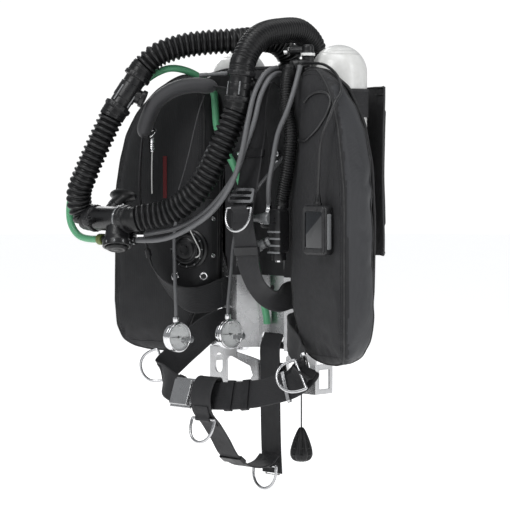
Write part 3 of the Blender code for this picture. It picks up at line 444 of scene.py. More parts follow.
class Shell:
    """Closed shells gathered in one mesh, each with its own finish. Lengths go in as millimetres."""

    def __init__(self, name):
        self.name = name
        self.bm = bmesh.new()
        self.uv = self.bm.loops.layers.uv.new("length")
        self.finishes = []

    def index(self, name):
        if name not in self.finishes:
            self.finishes.append(name)
        return self.finishes.index(name)

    def skin(self, rings, look, looped=False, caps=True):
        """Quads between rings of points; a ring of one point is a pole."""
        bm, at = self.bm, self.index(look)
        loops = [[bm.verts.new(Vector(p) * MM) for p in ring] for ring in rings]
        middles = np.array([np.mean(np.array(ring, float), axis=0) for ring in rings])
        along = reach(middles)
        widest = max(rings, key=len)
        around = reach(np.array([*widest, widest[0]], float))
        pairs = [(k, k + 1) for k in range(len(rings) - 1)] + ([(len(rings) - 1, 0)] if looped else [])
        for a, b in pairs:
            low, high = loops[a], loops[b]
            count = max(len(low), len(high))
            high_at = along[b] if b else along[a] + np.linalg.norm(middles[0] - middles[a])
            for i in range(count):
                j = i + 1
                corners = [(low[i % len(low)], i, along[a]), (low[j % len(low)], j, along[a]),
                           (high[j % len(high)], j, high_at), (high[i % len(high)], i, high_at)]
                kept = []
                for corner in corners:
                    if all(corner[0] is not other[0] for other in kept):
                        kept.append(corner)
                face = bm.faces.new([c[0] for c in kept])
                face.material_index = at
                for loop, (_, k, v) in zip(face.loops, kept):
                    loop[self.uv].uv = (around[min(k, len(around) - 1)] * MM, v * MM)
        if caps and not looped:
            for end in (loops[0], loops[-1]):
                if len(end) > 2:
                    bm.faces.new(end).material_index = at
        return self

    def lathe(self, profile, start, heading, look, segments=56, soften=0.8, flutes=0, depth=0.0):
        """A turned solid from (distance along the axis, radius); flutes cut its outside in waves."""
        start, heading = Vector(start), Vector(heading).normalized()
        side, other = across(heading)
        whole = [(profile[0][0], 0.0), *profile, (profile[-1][0], 0.0)]
        whole = [p for k, p in enumerate(whole) if k == 0 or p != whole[k - 1]]
        widest = max(radius for _, radius in profile)
        rings = []
        for spot in softened(whole, soften):
            centre = start + heading * spot[0]
            if spot[1] < 0.01:
                rings.append([centre])
                continue
            ring = []
            for k in range(segments):
                a = 2 * math.pi * k / segments
                cut = depth * (0.5 + 0.5 * math.cos(flutes * a)) ** 2 * (spot[1] / widest) if flutes else 0.0
                ring.append(centre + (side * math.cos(a) + other * math.sin(a)) * (spot[1] - cut))
            rings.append(ring)
        return self.skin(rings, look)

    def tube(self, line, radius, look, segments=20, first=None, looped=False):
        """A round tube; radius is a number, or a function of the distance along and the whole length."""
        line = np.array(line, float)
        along = reach(line)
        rings = []
        for (point, _, side, other), s in zip(frames(line, first), along):
            r = radius(s, along[-1]) if callable(radius) else radius
            angles = [2 * math.pi * k / segments for k in range(segments)]
            rings.append([point + (side * math.cos(a) + other * math.sin(a)) * r for a in angles])
        return self.skin(rings, look, looped)

    def slab(self, outline, low, high, look, origin=(0, 0, 0), turn=None, soften=1.0):
        """An outline in X and Z drawn along Y from low to high, with rounded rims."""
        turn = turn or Matrix.Identity(3)
        origin = Vector(origin)
        middle = Vector(np.mean(np.array(outline, float), axis=0))
        reach_out = min((Vector(p) - middle).length for p in outline)
        profile = [(low, -soften), (low + soften * 0.3, -soften * 0.3), (low + soften, 0.0),
                   (high - soften, 0.0), (high - soften * 0.3, -soften * 0.3), (high, -soften)]
        rings = []
        for y, inset in profile:
            share = 1 + inset / reach_out
            rings.append([origin + turn @ Vector((middle.x + (p[0] - middle.x) * share, y,
                                                  middle.y + (p[1] - middle.y) * share)) for p in outline])
        return self.skin(rings, look)

    def block(self, low, high, look, radius=1.5, turn=None):
        """A box with rounded edges; turn is about its own middle."""
        low, high = Vector(low), Vector(high)
        middle, half = (low + high) / 2, (high - low) / 2
        outline = rounded(half.x, half.z, min(radius * 1.6, half.x * 0.9, half.z * 0.9), 4)
        return self.slab(outline, -half.y, half.y, look, middle, turn, min(radius, half.y * 0.8))

    def stitches(self, line, lift, look="thread", pitch=4.2, size=0.5):
        """A row of thread beads along a line, raised along lift."""
        marks = even(line, pitch)
        lift = Vector(lift).normalized()
        for a, b in zip(marks, marks[1:]):
            start, stop = Vector(a[:3]), Vector(b[:3])
            step = stop - start
            if step.length < 0.5:
                continue
            line_up = [start + step * t + lift * size * rise
                       for t, rise in ((0.12, -0.4), (0.3, 0.5), (0.7, 0.5), (0.88, -0.4))]
            self.tube(line_up, size, look, 5)
        return self

    def make(self, body, *nodes, slot=None, sharp=38):
        bmesh.ops.recalc_face_normals(self.bm, faces=self.bm.faces)
        mesh = bpy.data.meshes.new(self.name)
        self.bm.to_mesh(mesh)
        self.bm.free()
        for look in self.finishes:
            mesh.materials.append(FINISH[look])
        mesh.shade_smooth()
        mesh.set_sharp_from_angle(angle=math.radians(sharp))
        obj = place(self.name, mesh)
        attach(obj, body)
        if nodes:
            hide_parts(*nodes)
        return obj


# ---------------------------------------------------------------- cords and hoses

LOOP_RADIUS = 23.0                      # of the breathing hoses
MOUTH = Vector((-175.5, -200, 66))      # middle of the mouthpiece
BARREL = 50.0                           # half of its length
MOUTH_LOW = MOUTH + Vector((0, 4, -38))
GAS_PORT, GAS_PORT_OUT = MOUTH + Vector((10, 4, -38)), Vector((1, 0.3, 0)).normalized()
PORT_LENGTH = 40.4
PORT = Vector((32, 112, 334.4))         # top of the canister head's left hose port
TEE_RIGHT_LOW, TEE_RIGHT_HIGH = Vector((45, -100, 271)), Vector((47, -93, 326))
TEE_LEFT_LOW, TEE_LEFT_HIGH = Vector((-190, -176, 262)), Vector((-166, -143, 325))
GAUGES = {
    "right": (Vector((-107, -114, -147)), Vector((1.0, -0.06, 0)).normalized()),
    "left": (Vector((-56, -33, -143)), Vector((1.0, -0.12, 0)).normalized()),
}
GAUGE_RIGHT, GAUGE_LEFT = (GAUGES[s][0] + GAUGES[s][1] * 8 for s in ("right", "left"))
# the left gauge hose's start behind the plate; the right one's is its mirror image
GAUGE_RISE = [(101.3, 28.6, -149.8), (94, 28.6, -144.7), (86, 26, -100), (83, 28, 0), (84, 28, 120)]


def beyond(low, high, distance):
    """The point past high on the line from low, with a distance back along it when negative."""
    return high + (high - low).normalized() * distance


def routes():
    """Points along each hose, as listed; the same ones as the CAD's."""
    port_end = GAS_PORT + GAS_PORT_OUT * PORT_LENGTH
    port_near = port_end + GAS_PORT_OUT * 10
    port_left = MOUTH_LOW - Vector((PORT_LENGTH, 0, 0))
    return {
        "loop_hose_exhale_front": [
            TEE_LEFT_LOW, beyond(TEE_LEFT_HIGH, TEE_LEFT_LOW, 14), (-211, -202, 196), (-228, -214, 150),
            (-247, -216, 110), (-252, -208, 84), (-247, -202, 70), (MOUTH.x - BARREL - 13, -200, 66),
            MOUTH - Vector((BARREL, 0, 0))],
        "loop_hose_exhale_rear": [
            TEE_LEFT_HIGH, beyond(TEE_LEFT_LOW, TEE_LEFT_HIGH, 12), (-146, -120, 358), (-120, -86, 375),
            (-88, -48, 383), (-58, -10, 386), (-44, 40, 390), (-36, 84, 384), (-32, 106, 364),
            (-PORT.x, PORT.y, 346), (-PORT.x, PORT.y, PORT.z)],
        "loop_hose_inhale_front": [
            MOUTH + Vector((BARREL, 0, 0)), (MOUTH.x + BARREL + 13, -200, 66), (-96, -190, 70),
            (-58, -168, 80), (-12, -148, 114), (14, -132, 162), (34, -116, 216),
            beyond(TEE_RIGHT_HIGH, TEE_RIGHT_LOW, 12), TEE_RIGHT_LOW],
        "loop_hose_inhale_rear": [
            TEE_RIGHT_HIGH, beyond(TEE_RIGHT_LOW, TEE_RIGHT_HIGH, 12), (46, -76, 362), (42, -46, 386),
            (38, 14, 401), (34, 72, 400), (32, 104, 376), (PORT.x, PORT.y, 346), (PORT.x, PORT.y, PORT.z)],
        "inflator_hose": [
            (92, -20, 332), (95, -24, 325), (108, -42, 304), (118, -53, 262), (134, -60, 220),
            (128, -60, 160), (117, -58, 122), (110.4, -56, 100), (110, -56, 87)],
        "lp_hose_inflator": [
            (130, -32, 334), (133, -40, 318), (142, -62, 285), (140, -74, 255), (128, -82, 222),
            (118, -88, 165), (101, -80, 125), (88, -67, 94), (88, -67, 78.4)],
        "gauge_hose_right": [
            *((-x, y, z) for x, y, z in GAUGE_RISE), (-90, 22, 178), (-93, 6, 203), (-95, -14, 204),
            (-98, -30, 196), (-102, -42, 172), (-110, -52, 146), (-120, -60, 120), (-131, -68, 96),
            (-138, -75, 70), (-140, -79, 44), (-139, -82, 18), (-124, -95, -12), (-110, -107, -42),
            GAUGE_RIGHT + Vector((0, 0, 52)), GAUGE_RIGHT + Vector((0, 0, 36.4))],
        "gauge_hose_left": [
            *GAUGE_RISE, (90, 22, 172), (92, 4, 190), (84, -12, 184), (58, -18, 160), (16, -14, 128),
            (-24, -14, 84), (-43, -22, 30), (-46, -28, -30), GAUGE_LEFT + Vector((0, 0, 52)),
            GAUGE_LEFT + Vector((0, 0, 36.4))],
        "oxygen_hose": [
            (-4, 22, -126), (-4, 22, -116), (-8, 19, -92), (-15, 13, -50), (-22, 6, 10), (-32, -2, 90),
            (-52, -14, 160), (-76, -20, 200), (-87, -24, 232), (-91, -24, 268), (-95, -25, 296),
            (-106, -40, 316), (-122, -68, 333), (-138, -91, 337), (-162, -100, 330), (-190, -114, 310),
            (-223, -146, 262), (-246, -172, 212), (-266, -188, 162), (-284, -198, 118), (-290, -202, 84),
            (-286, -202, 54), (-268, -200, 34), (-240, -197, 28), (port_left.x - 4, port_left.y, port_left.z),
            port_left],
        "lp_hose_mouthpiece": [
            port_end, port_near, (-100, -172, 28), (-66, -160, 34), (-30, -148, 50), (8, -137, 74),
            (42, -132, 106), (68, -130, 143), (78, -122, 187), (80, -110, 239), (76, -88, 290),
            (74, -66, 318), (70, -44, 330), (66, -24, 333)],
        "handset_cable": [
            (88, 0, 340), (104, -2, 340), (124, -4, 340), (166, -10, 336), (206, -22, 318), (240, -46, 288),
            (260, -86, 262), (258, -98, 236), (252, -108, 206), (246, -106, 168), (240, -102, 124),
            (238, -101, 104), (238, -101, 94.4)],
    }


HOSES = {
    # node: diameter, look, pitch and depth of the ribs, length in metres, stiffness
    "loop_hose_exhale_front": (46.0, "rubber", 10.4, 4.8, 0.236, "stiff"),
    "loop_hose_exhale_rear": (46.0, "rubber", 10.4, 4.8, 0.349, "stiff"),
    "loop_hose_inhale_front": (46.0, "rubber", 10.4, 4.8, 0.314, "stiff"),
    "loop_hose_inhale_rear": (46.0, "rubber", 6.4, 1.8, 0.284, "stiff"),
    "inflator_hose": (24.0, "rubber", 4.4, 1.5, 0.266, "stiff"),
    "lp_hose_inflator": (9.0, "grey_hose", 0, 0, 0.281, "stiff"),
    "lp_hose_mouthpiece": (9.0, "grey_hose", 0, 0, 0.483, "stiff"),
    "oxygen_hose": (13.0, "green_hose", 0, 0, 0.973, "stiff"),
    "gauge_hose_right": (6.5, "grey_hose", 0, 0, 0.737, "stiff"),
    "gauge_hose_left": (6.5, "grey_hose", 0, 0, 0.717, "stiff"),
    "handset_cable": (5.0, "black_hose", 0, 0, 0.403, "medium"),
}
CUFF = 17.0                    # smooth length at each end of a ribbed hose


def ribs(radius, pitch, depth, cuff=CUFF):
    """Radius along a ribbed hose: rounded ribs with narrow grooves, and a smooth cuff at each end."""
    def at(s, length):
        to_end = min(s, length - s)
        if to_end < cuff:
            return radius - 0.6 + 0.6 * math.cos(to_end * 0.9) ** 8
        groove = (0.5 + 0.5 * math.cos(2 * math.pi * (s - cuff) / pitch)) ** 1.35
        return radius - depth * groove
    return at


def make_hoses():
    """Every hose and cable of the unit."""
    for name, route in routes().items():
        diameter, look, pitch, depth, length, stiffness = HOSES[name]
        route = [tuple(p) for p in route]
        line = hose_line(route, pitch / 8 if pitch else max(1.5, diameter / 4))
        radius = ribs(diameter / 2, pitch, depth, CUFF if diameter > 40 else 8.0) if pitch else diameter / 2
        shell = Shell(name + "_tube")
        shell.tube(line, radius, look, 40 if diameter > 40 else 24)
        obj = shell.make(UNIT, name, slot=look if look in ("rubber", "grey_hose", "green_hose") else "rubber")
        path = even(line, 6.0) * MM


def free_cord(name, points, diameter, look, nodes=(), body=UNIT,
              cord_slot="cord"):
    """A cord through the points."""
    line = relax(even(smooth(points), max(0.8, diameter / 2)), 3)
    obj = Shell(name).tube(line, diameter / 2, look, 12).make(body, *nodes, slot=cord_slot)
    path = line * MM
    tuple(path[0])
    return obj


# ---------------------------------------------------------------- soft bags

# Outline of a counterlung: height, inner edge, outer edge, share of full depth
LUNG_OUTLINE = [
    (-183, 196, 246, 0.25), (-178, 172, 270, 0.52), (-166, 152, 287, 0.78), (-138, 132, 296, 0.94),
    (-95, 112, 299, 1.0), (-40, 103, 299, 1.0), (40, 101, 299, 1.0), (120, 101, 297, 1.0),
    (170, 101, 289, 1.0), (220, 101, 277, 0.95), (262, 103, 257, 0.84), (300, 110, 225, 0.66),
    (320, 122, 197, 0.46), (330, 138, 175, 0.25),
]
LUNG_CORNER = 9.0


def lung_front(x):
    """Y of a counterlung's front face, x from the middle of the body."""
    return -31.0 - 0.3265 * (x - 101)


def lung_back(x):
    """Y of a counterlung's back face."""
    return 6.0 - 0.095 * (x - 101)


def coordinates(mesh):
    """A mesh's vertices as rows of X, Y and Z."""
    co = np.zeros(len(mesh.vertices) * 3)
    mesh.vertices.foreach_get("co", co)
    return co.reshape(-1, 3)


def apply_modifiers(obj):
    """Makes an object's modifiers part of its mesh."""
    made = bpy.data.meshes.new_from_object(obj.evaluated_get(bpy.context.evaluated_depsgraph_get()))
    obj.modifiers.clear()
    obj.data = made


CLOTH_FRAMES = 20


def swollen(name, node, voxel, shrink, cap, pressure=4.0):
    """The CAD solid as sewn cloth under pressure: remeshed and simulated.

    It starts smaller by shrink on each side, or larger where that is negative, and the simulation moves
    no vertex further than cap. Both are in millimetres, like voxel."""
    obj = place(name, NODES[node].data.copy())
    obj.data.materials.clear()
    co = coordinates(obj.data)
    middle, size = (co.max(0) + co.min(0)) / 2, co.max(0) - co.min(0)
    obj.data.vertices.foreach_set("co", ((co - middle) * (1 - 2 * shrink * MM / size) + middle).ravel())
    remesh = obj.modifiers.new("remesh", "REMESH")
    remesh.mode = "VOXEL"
    remesh.voxel_size = voxel * MM
    apply_modifiers(obj)
    rest = coordinates(obj.data)
    cloth = obj.modifiers.new("cloth", "CLOTH")
    cloth.settings.use_pressure = True
    cloth.settings.uniform_pressure_force = pressure
    cloth.settings.effector_weights.gravity = 0.0
    cloth.settings.quality = 4
    cloth.settings.bending_stiffness = 1.0
    for number in range(1, CLOTH_FRAMES + 1):
        bpy.context.scene.frame_set(number)
    apply_modifiers(obj)
    bpy.context.scene.frame_set(1)
    moved = coordinates(obj.data) - rest
    far = np.linalg.norm(moved, axis=1)[:, None]
    moved = moved * np.minimum(1.0, cap * MM / np.maximum(far, 1e-9))
    obj.data.vertices.foreach_set("co", (rest + moved).ravel())
    return obj


def even_out(obj, rounds=2):
    """Smooths a mesh a little, to take the voxel steps out of it."""
    bm = bmesh.new()
    bm.from_mesh(obj.data)
    for _ in range(rounds):
        bmesh.ops.smooth_vert(bm, verts=bm.verts, factor=0.5, **{f"use_axis_{axis}": True for axis in "xyz"})
    bm.to_mesh(obj.data)
    bm.free()


def crumple(obj, height):
    """Moves each vertex along its normal by height(place in millimetres), in millimetres."""
    mesh = obj.data
    normals = np.zeros(len(mesh.vertices) * 3)
    mesh.vertices.foreach_get("normal", normals)
    co = coordinates(mesh)
    lift = np.array([height(Vector(p) / MM) for p in co])[:, None] * MM
    mesh.vertices.foreach_set("co", (co + normals.reshape(-1, 3) * lift).ravel())
    mesh.update()


def dress(obj, looks, choose=None):
    """Gives a mesh its finishes; choose(normal, centre in millimetres) picks one for each face."""
    for look in looks:
        obj.data.materials.append(FINISH[look])
    for face in obj.data.polygons:
        face.use_smooth = True
        face.material_index = choose(face.normal, face.center / MM) if choose else 0


def bag(obj, node):
    """A soft bag in place of a CAD node: subdivided once and fixed to the unit."""
    subdivide = obj.modifiers.new("fine", "SUBSURF")
    subdivide.levels = subdivide.render_levels = 1
    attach(obj, UNIT)
    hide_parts(node)


def landed(obj, points):
    """The nearest spot on a mesh to each point, with the surface's normal there."""
    tree = BVHTree.FromObject(obj, bpy.context.evaluated_depsgraph_get())
    found = [tree.find_nearest(Vector(point[:3]) * MM) for point in points]
    return [(spot / MM, normal) for spot, normal, _, _ in found]


def settle(obj, points, lift):
    """Points moved onto a mesh's surface and raised off it by lift."""
    return [tuple(spot + normal * lift) for spot, normal in landed(obj, points)]


def patch(name, obj, columns, look, low=0.5, high=2.0):
    """Thin cloth lying on a mesh; each column is a row of points of the same number, near its surface."""
    count = len(columns[0])
    spots = landed(obj, [point for column in columns for point in column])
    rings = []
    for k in range(len(columns)):
        part = spots[k * count:(k + 1) * count]
        rings.append([spot + normal * high for spot, normal in part]
                     + [spot + normal * low for spot, normal in part[::-1]])
    return Shell(name).skin(rings, look)


def closed(points, step):
    """An even closed line through the points, without the repeat of its first point."""
    line = even(np.array([*points, points[0]], float), step)[:-1]
    for _ in range(4):
        line = line * 0.5 + (np.roll(line, 1, axis=0) + np.roll(line, -1, axis=0)) * 0.25
    return line


def hoop(x, y, z, radius, tilt=0.0, count=24, step=1.5):
    """A closed circle round a vertical axis; tilt raises the side towards +Y."""
    angles = np.linspace(0, 2 * math.pi, count, endpoint=False)
    return closed([(x + radius * math.cos(a), y + radius * math.sin(a), z + tilt * radius * math.sin(a))
                   for a in angles], step)


def lung_seam(sign, front, inset=0.0):
    """Closed seam round the front face or the back face of a counterlung."""
    up, down = [], []
    for z, inner, outer, share in LUNG_OUTLINE:
        taper = 70 * (1 - share) if z < 0 else 0
        ends = (outer - 8 - taper / 2, inner)
        if front:
            ends = (outer - LUNG_CORNER - inset, inner + LUNG_CORNER + inset)
        for x, chain in zip(ends, (up, down)):
            middle = (lung_front(x) + lung_back(x)) / 2
            half = (lung_back(x) - lung_front(x)) / 2 * share
            chain.append((sign * x, middle - half if front else middle + 0.72 * half, z))
    low, top = LUNG_OUTLINE[0][0] + inset, LUNG_OUTLINE[-1][0] - inset
    return [p for p in up + down[::-1] if low <= p[2] <= top]


def make_counterlung(side, sign):
    """A counterlung with its folds, bound seams and rows of stitches."""
    obj = swollen(f"counterlung_{side}_bag", f"counterlung_{side}", voxel=5.0, shrink=-2.2, cap=4.5)
    even_out(obj)

    def folds(p):
        slow = noise.noise(Vector((p.x / 70, p.y / 60, p.z / 110 + 9 * sign)))
        crease = 1 - abs(noise.noise(Vector((p.x / 34 + 3 * sign, p.y / 40, p.z / 95)))) * 3.2
        edge = min(abs(p.z - LUNG_OUTLINE[0][0]), abs(p.z - LUNG_OUTLINE[-1][0])) / 120
        return 1.4 * slow + 1.3 * max(0.0, crease) * max(0.15, 1 - edge)

    crumple(obj, folds)
    # faces turned outwards take the lighter copy of the nylon: painted light on the lit sides
    dress(obj, ("nylon", "lit_side_nylon"), lambda normal, at: 1 if normal.x * sign > 0.62 else 0)
    bag(obj, f"counterlung_{side}")
    trim = Shell(f"counterlung_{side}_seams")
    for front in (True, False):
        line = closed(settle(obj, closed(lung_seam(sign, front), 4.0), 0.5), 3.5)
        trim.tube(line, 1.5 if front else 1.3, "binding", 8, looped=True)
    for inset in (6.0, 10.0):
        line = closed(settle(obj, closed(lung_seam(sign, True, inset), 4.0), 0.35), 4.0)
        trim.stitches(line, (0.3 * sign, -1, 0), pitch=5.0, size=0.45)
    trim.make(UNIT, slot="fabric")
    return obj


def make_wing():
    """The bladder behind the counterlungs, with its bound edge."""
    obj = swollen("wing_bladder", "wing", voxel=3.6, shrink=0.8, cap=2.2, pressure=3.0)
    even_out(obj)
    crumple(obj, lambda p: 0.9 * noise.noise(Vector((p.x / 30, p.y / 30, p.z / 45))))
    dress(obj, ("nylon",))
    bag(obj, "wing")
    edge = [(-188, -182), (-208, -176), (-228, -160), (-243, -135), (-254, -105), (-261, -60), (-264, 60),
            (-258, 160), (-240, 235), (-205, 295), (-160, 325), (-100, 336)]
    loop = edge + [(-x, z) for x, z in edge[::-1]]
    line = relax(even(np.array([(x, 12.75, z) for x, z in loop], float), 4.0), 6)
    Shell("wing_binding").tube(line, 3.2, "binding", 10).make(UNIT, slot="fabric")


def hull(circles, grow, steps=72):
    """The convex outline in X and Y round circles (x, y, radius), each grown by the same amount."""
    points = sorted({
        (round(x + (r + grow) * math.cos(2 * math.pi * k / steps), 3),
         round(y + (r + grow) * math.sin(2 * math.pi * k / steps), 3))
        for x, y, r in circles for k in range(steps)
    })
    chains = []
    for ordered in (points, points[::-1]):
        chain = []
        for p in ordered:
            while len(chain) > 1 and (
                (chain[-1][0] - chain[-2][0]) * (p[1] - chain[-2][1])
                - (chain[-1][1] - chain[-2][1]) * (p[0] - chain[-2][0]) <= 1e-6
            ):
                chain.pop()
            chain.append(p)
        chains += chain[:-1]
    return chains


BAND_LOW, BAND_HIGH = 246.0, 296.0
COVER_LOW, COVER_HIGH = 0.0, 302.0
COVER_EDGE_Y = 100.0           # where the cover's two upright edges stand
# x, y and radius; the cover's outline in plan is stretched round them
COVER_CIRCLES = [(-172, 125, 10), (172, 125, 10), (0, 131, 87), (-172, 60, 10), (172, 60, 10)]


def upright_sheet(shell, line, low, high, thick, look, sag=None, looped=False, rows=26):
    """A sheet standing on a line in X and Y, from low to high; sag(along, z) moves it outwards."""
    points = [Vector((p[0], p[1], 0)) for p in line]
    along = reach(np.array(points, float))
    rings = []
    for i, point in enumerate(points):
        before, after = (points[i - 1] if i or looped else point), points[(i + 1) % len(points)]
        if not looped and i == len(points) - 1:
            after = point
        ahead = (after - before).normalized()
        out = Vector((ahead.y, -ahead.x, 0))
        heights = [low + (high - low) * k / rows for k in range(rows + 1)]
        lifts = [sag(along[i], z) if sag else 0.0 for z in heights]
        outer = [point + out * (thick / 2 + lift) + Vector((0, 0, z)) for z, lift in zip(heights, lifts)]
        inner = [point + out * (-thick / 2 + lift) + Vector((0, 0, z)) for z, lift in zip(heights, lifts)]
        rings.append(outer + inner[::-1])
    return shell.skin(rings, look, looped)


def make_cover():
    """Cloth cover over the canister, with its hems and seams."""
    loop = hull(COVER_CIRCLES, 1.8)
    left_half = [k for k, p in enumerate(loop) if p[0] > 0]
    start = min(left_half, key=lambda k: abs(loop[k][1] - COVER_EDGE_Y))
    turned = loop[start:] + loop[:start]
    line = even(np.array([p for p in turned if p[1] >= COVER_EDGE_Y - 0.5], float), 6.0)

    def sag(s, z):
        height = (z - COVER_LOW) / (COVER_HIGH - COVER_LOW)
        return 1.6 * noise.noise(Vector((s / 60, z / 80, 4))) - 2.0 * math.sin(math.pi * height) ** 2

    shell = Shell("rear_cover_cloth")
    upright_sheet(shell, line, COVER_LOW + 1, COVER_HIGH - 1, 1.8, "nylon", sag)
    cover = shell.make(UNIT, "rear_cover", slot="fabric")
    hems = Shell("rear_cover_hems")
    for z in (COVER_LOW + 1.5, COVER_LOW + 14, COVER_HIGH - 14, COVER_HIGH - 1.5):
        edge = abs(z - COVER_LOW) < 2 or abs(z - COVER_HIGH) < 2
        round_line = settle(cover, [(x, y, z) for x, y in line], 0.3)
        hems.tube(relax(np.array(round_line), 3), 1.7 if edge else 0.5, "binding" if edge else "thread", 8)
    for end in (line[2], line[-3]):
        upright = settle(cover, [(end[0], end[1], COVER_LOW + 4 + k * 6.0) for k in range(50)], 0.4)
        hems.tube(np.array(upright), 1.5, "binding", 8)
    hems.make(UNIT, slot="fabric")


def make_band():
    """Webbing band round the two cylinders and the canister."""
    circles = [(s * CYLINDER_X, CYLINDER_Y, CYLINDER_RADIUS) for s in (-1, 1)]
    circles.append((0, CANISTER_Y, CANISTER_RADIUS + 1))
    band_line = even(np.array(hull(circles, 1.5), float), 5.0)
    band = Shell("tank_band_webbing")
    upright_sheet(band, band_line, BAND_LOW, BAND_HIGH, 2.0, "webbing", looped=True, rows=12)
    for z in (BAND_LOW + 4, BAND_HIGH - 4):
        band.tube([(x * 1.006, 85 + (y - 85) * 1.009, z) for x, y in band_line], 0.5,
                  "thread", 5, looped=True)
    band.make(UNIT, "tank_band", slot="webbing")


# ---------------------------------------------------------------- harness

LEVEL, BIAS, DROOP = LEFT, (1, -1, 0), (0, 0.35, 1)


def facing_all(side, *points):
    """Stations of a strap that share one direction across it."""
    return [(point, side) for point in points]


def mirrored(stations):
    """The same stations on the other side of the body."""
    return [((-x, y, z), side) for (x, y, z), side in stations]


SHOULDER_TOP = facing_all(LEVEL, (49, -2, 160), (49, -2, 190), (49, -4, 210), (49, -9, 228))
SHOULDER_SLOT = facing_all(UP, (85.5, 0, -68), (84, 6, -68), (77, 10.5, -68), (68, 11, -68))
WAIST_SLOT = facing_all(UP, (68, 12, -124), (77, 11, -124), (84, 6, -124), (86, -1, -124), (88, -14, -126))
STRAPS = {
    # node: points along the middle of the strap, each with the direction across it
    "shoulder_strap_left": [
        *SHOULDER_TOP, *facing_all(LEVEL, (49, -16, 260), (49, -24, 296), (50, -42, 306), (54, -58, 285),
                                   (60, -72, 220), (64, -96, 120)),
        ((68, -112, 74), (1, 0.05, 0)), ((71, -104, 14), (1, 0.1, 0)), ((72, -98, -20), (1, 0, 0.1)),
        ((76, -84, -50), (1, -0.1, 0.3)), ((80, -56, -71), (0.7, -0.2, 0.6)), ((84, -30, -73), (0.2, 0, 1)),
        ((85.5, -10, -68), UP), *SHOULDER_SLOT],
    "shoulder_strap_right": [
        *mirrored(SHOULDER_TOP), ((-50, -16, 262), LEVEL), ((-58, -30, 292), (1, -0.2, 0)),
        ((-84, -62, 305), (1, -0.7, 0)), ((-120, -92, 300), (1, -0.8, 0)),
        *facing_all(BIAS, (-152, -112, 276), (-170, -122, 236), (-180, -126, 170), (-186, -122, 100),
                    (-184, -112, 30)),
        ((-172, -100, -30), (1, -1, 0.2)), ((-144, -80, -68), (0.6, -0.8, 0.8)),
        ((-112, -54, -84), (0.2, -0.2, 1)), ((-91, -24, -76), UP), ((-85.8, -7, -69), UP),
        *mirrored(SHOULDER_SLOT)],
    "waist_strap_right": [
        *mirrored(WAIST_SLOT), ((-98, -38, -138), UP), ((-122, -56, -164), (-0.25, -0.15, 1)),
        ((-148, -72, -192), (-0.3, -0.2, 1)), ((-154, -94, -212), (-0.3, -0.1, 1)),
        ((-124, -116, -229), (0, 0.2, 1)), ((-80, -127, -240), DROOP), ((-38, -132, -244), DROOP)],
    "waist_strap_left": [
        *WAIST_SLOT, ((112, -41, -138), UP), ((154, -58, -166), (-0.4, 0.1, 1)),
        ((181, -70, -190), (-0.7, 0.1, 1)), ((176, -91, -210), (-0.6, 0.1, 1)),
        ((138, -109, -226), (-0.3, 0.3, 1)),
        *facing_all(DROOP, (78, -122, -238), (16, -130, -243), (-30, -133, -244.5))],
    "crotch_strap_rear": facing_all(
        LEVEL, (0, 41, -122), (0, 40, -136), (0, 33.5, -150), (0, 27, -164), (0, 26, -200), (0, 27, -280),
        (0, 29, -350), (0, 32, -397)),
    "crotch_strap_front": facing_all(
        LEVEL, (0, 24, -364), (0, 12, -374), (0, -14, -380), (0, -46, -375), (0, -78, -354), (0, -101, -322),
        (0, -123, -294), (0, -144, -270), (0, -148, -248), (0, -141, -224), (0, -132, -213), (0, -121, -212),
        (0, -116.5, -223), (0, -122, -241), (0, -127, -256)),
}
WEBBING_WIDTH, WEBBING_THICK = 50.0, 2.6


def strap_rows(stations, step=3.0):
    """Even rows along a strap: centre, across it and square to it."""
    rows = even(smooth([(*at, *Vector(side).normalized()) for at, side in stations]), step)
    found = []
    for i, row in enumerate(rows):
        centre = Vector(row[:3])
        ahead = (Vector(rows[min(i + 1, len(rows) - 1)][:3]) - Vector(rows[max(i - 1, 0)][:3])).normalized()
        side = Vector(row[3:])
        side = (side - ahead * side.dot(ahead)).normalized()
        found.append((centre, ahead, side, ahead.cross(side).normalized()))
    return found


def webbing_ring(centre, side, up, width, thick):
    """Cross-section of webbing: thicker at its two selvedges, with rounded edges."""
    half, t = width / 2, thick / 2
    profile = [(-half, 0.35 * t), (-half + 0.8, 0.95 * t), (-half + 3, t), (-half + 5, 0.8 * t),
               (-half / 3, 0.78 * t), (half / 3, 0.78 * t), (half - 5, 0.8 * t), (half - 3, t),
               (half - 0.8, 0.95 * t), (half, 0.35 * t)]
    top = [centre + side * a + up * b for a, b in profile]
    return top + [centre + side * a - up * b for a, b in profile[::-1]]


def wrap(shell, row, look, length, width=WEBBING_WIDTH + 2, thick=1.4, clear=1.6):
    """A keeper loop round a strap at one of its rows."""
    centre, ahead, side, up = row
    outline = rounded(width / 2, WEBBING_THICK / 2 + clear, 1.6, 3)
    outer = rounded(width / 2 + thick, WEBBING_THICK / 2 + clear + thick, 2.6, 3)
    rings = []
    for loop, shift in ((outline, -0.5), (outer, -0.5), (outer, 0.5), (outline, 0.5)):
        rings.append([centre + side * a + up * b + ahead * shift * length for a, b in loop])
    return shell.skin(rings, look, looped=True)


def box_stitch(shell, row, width=34.0, length=24.0, look="thread"):
    """A sewn box with a cross, on both faces of a strap."""
    centre, ahead, side, up = row
    for face in (1, -1):
        at = centre + up * face * WEBBING_THICK * 0.42
        corners = [at + side * a * width / 2 + ahead * b * length / 2
                   for a, b in ((-1, -1), (1, -1), (1, 1), (-1, 1))]
        for a, b in ((0, 1), (1, 2), (2, 3), (3, 0), (0, 2), (1, 3)):
            shell.stitches([tuple(corners[a]), tuple(corners[b])], up * face, look, 3.4, 0.45)


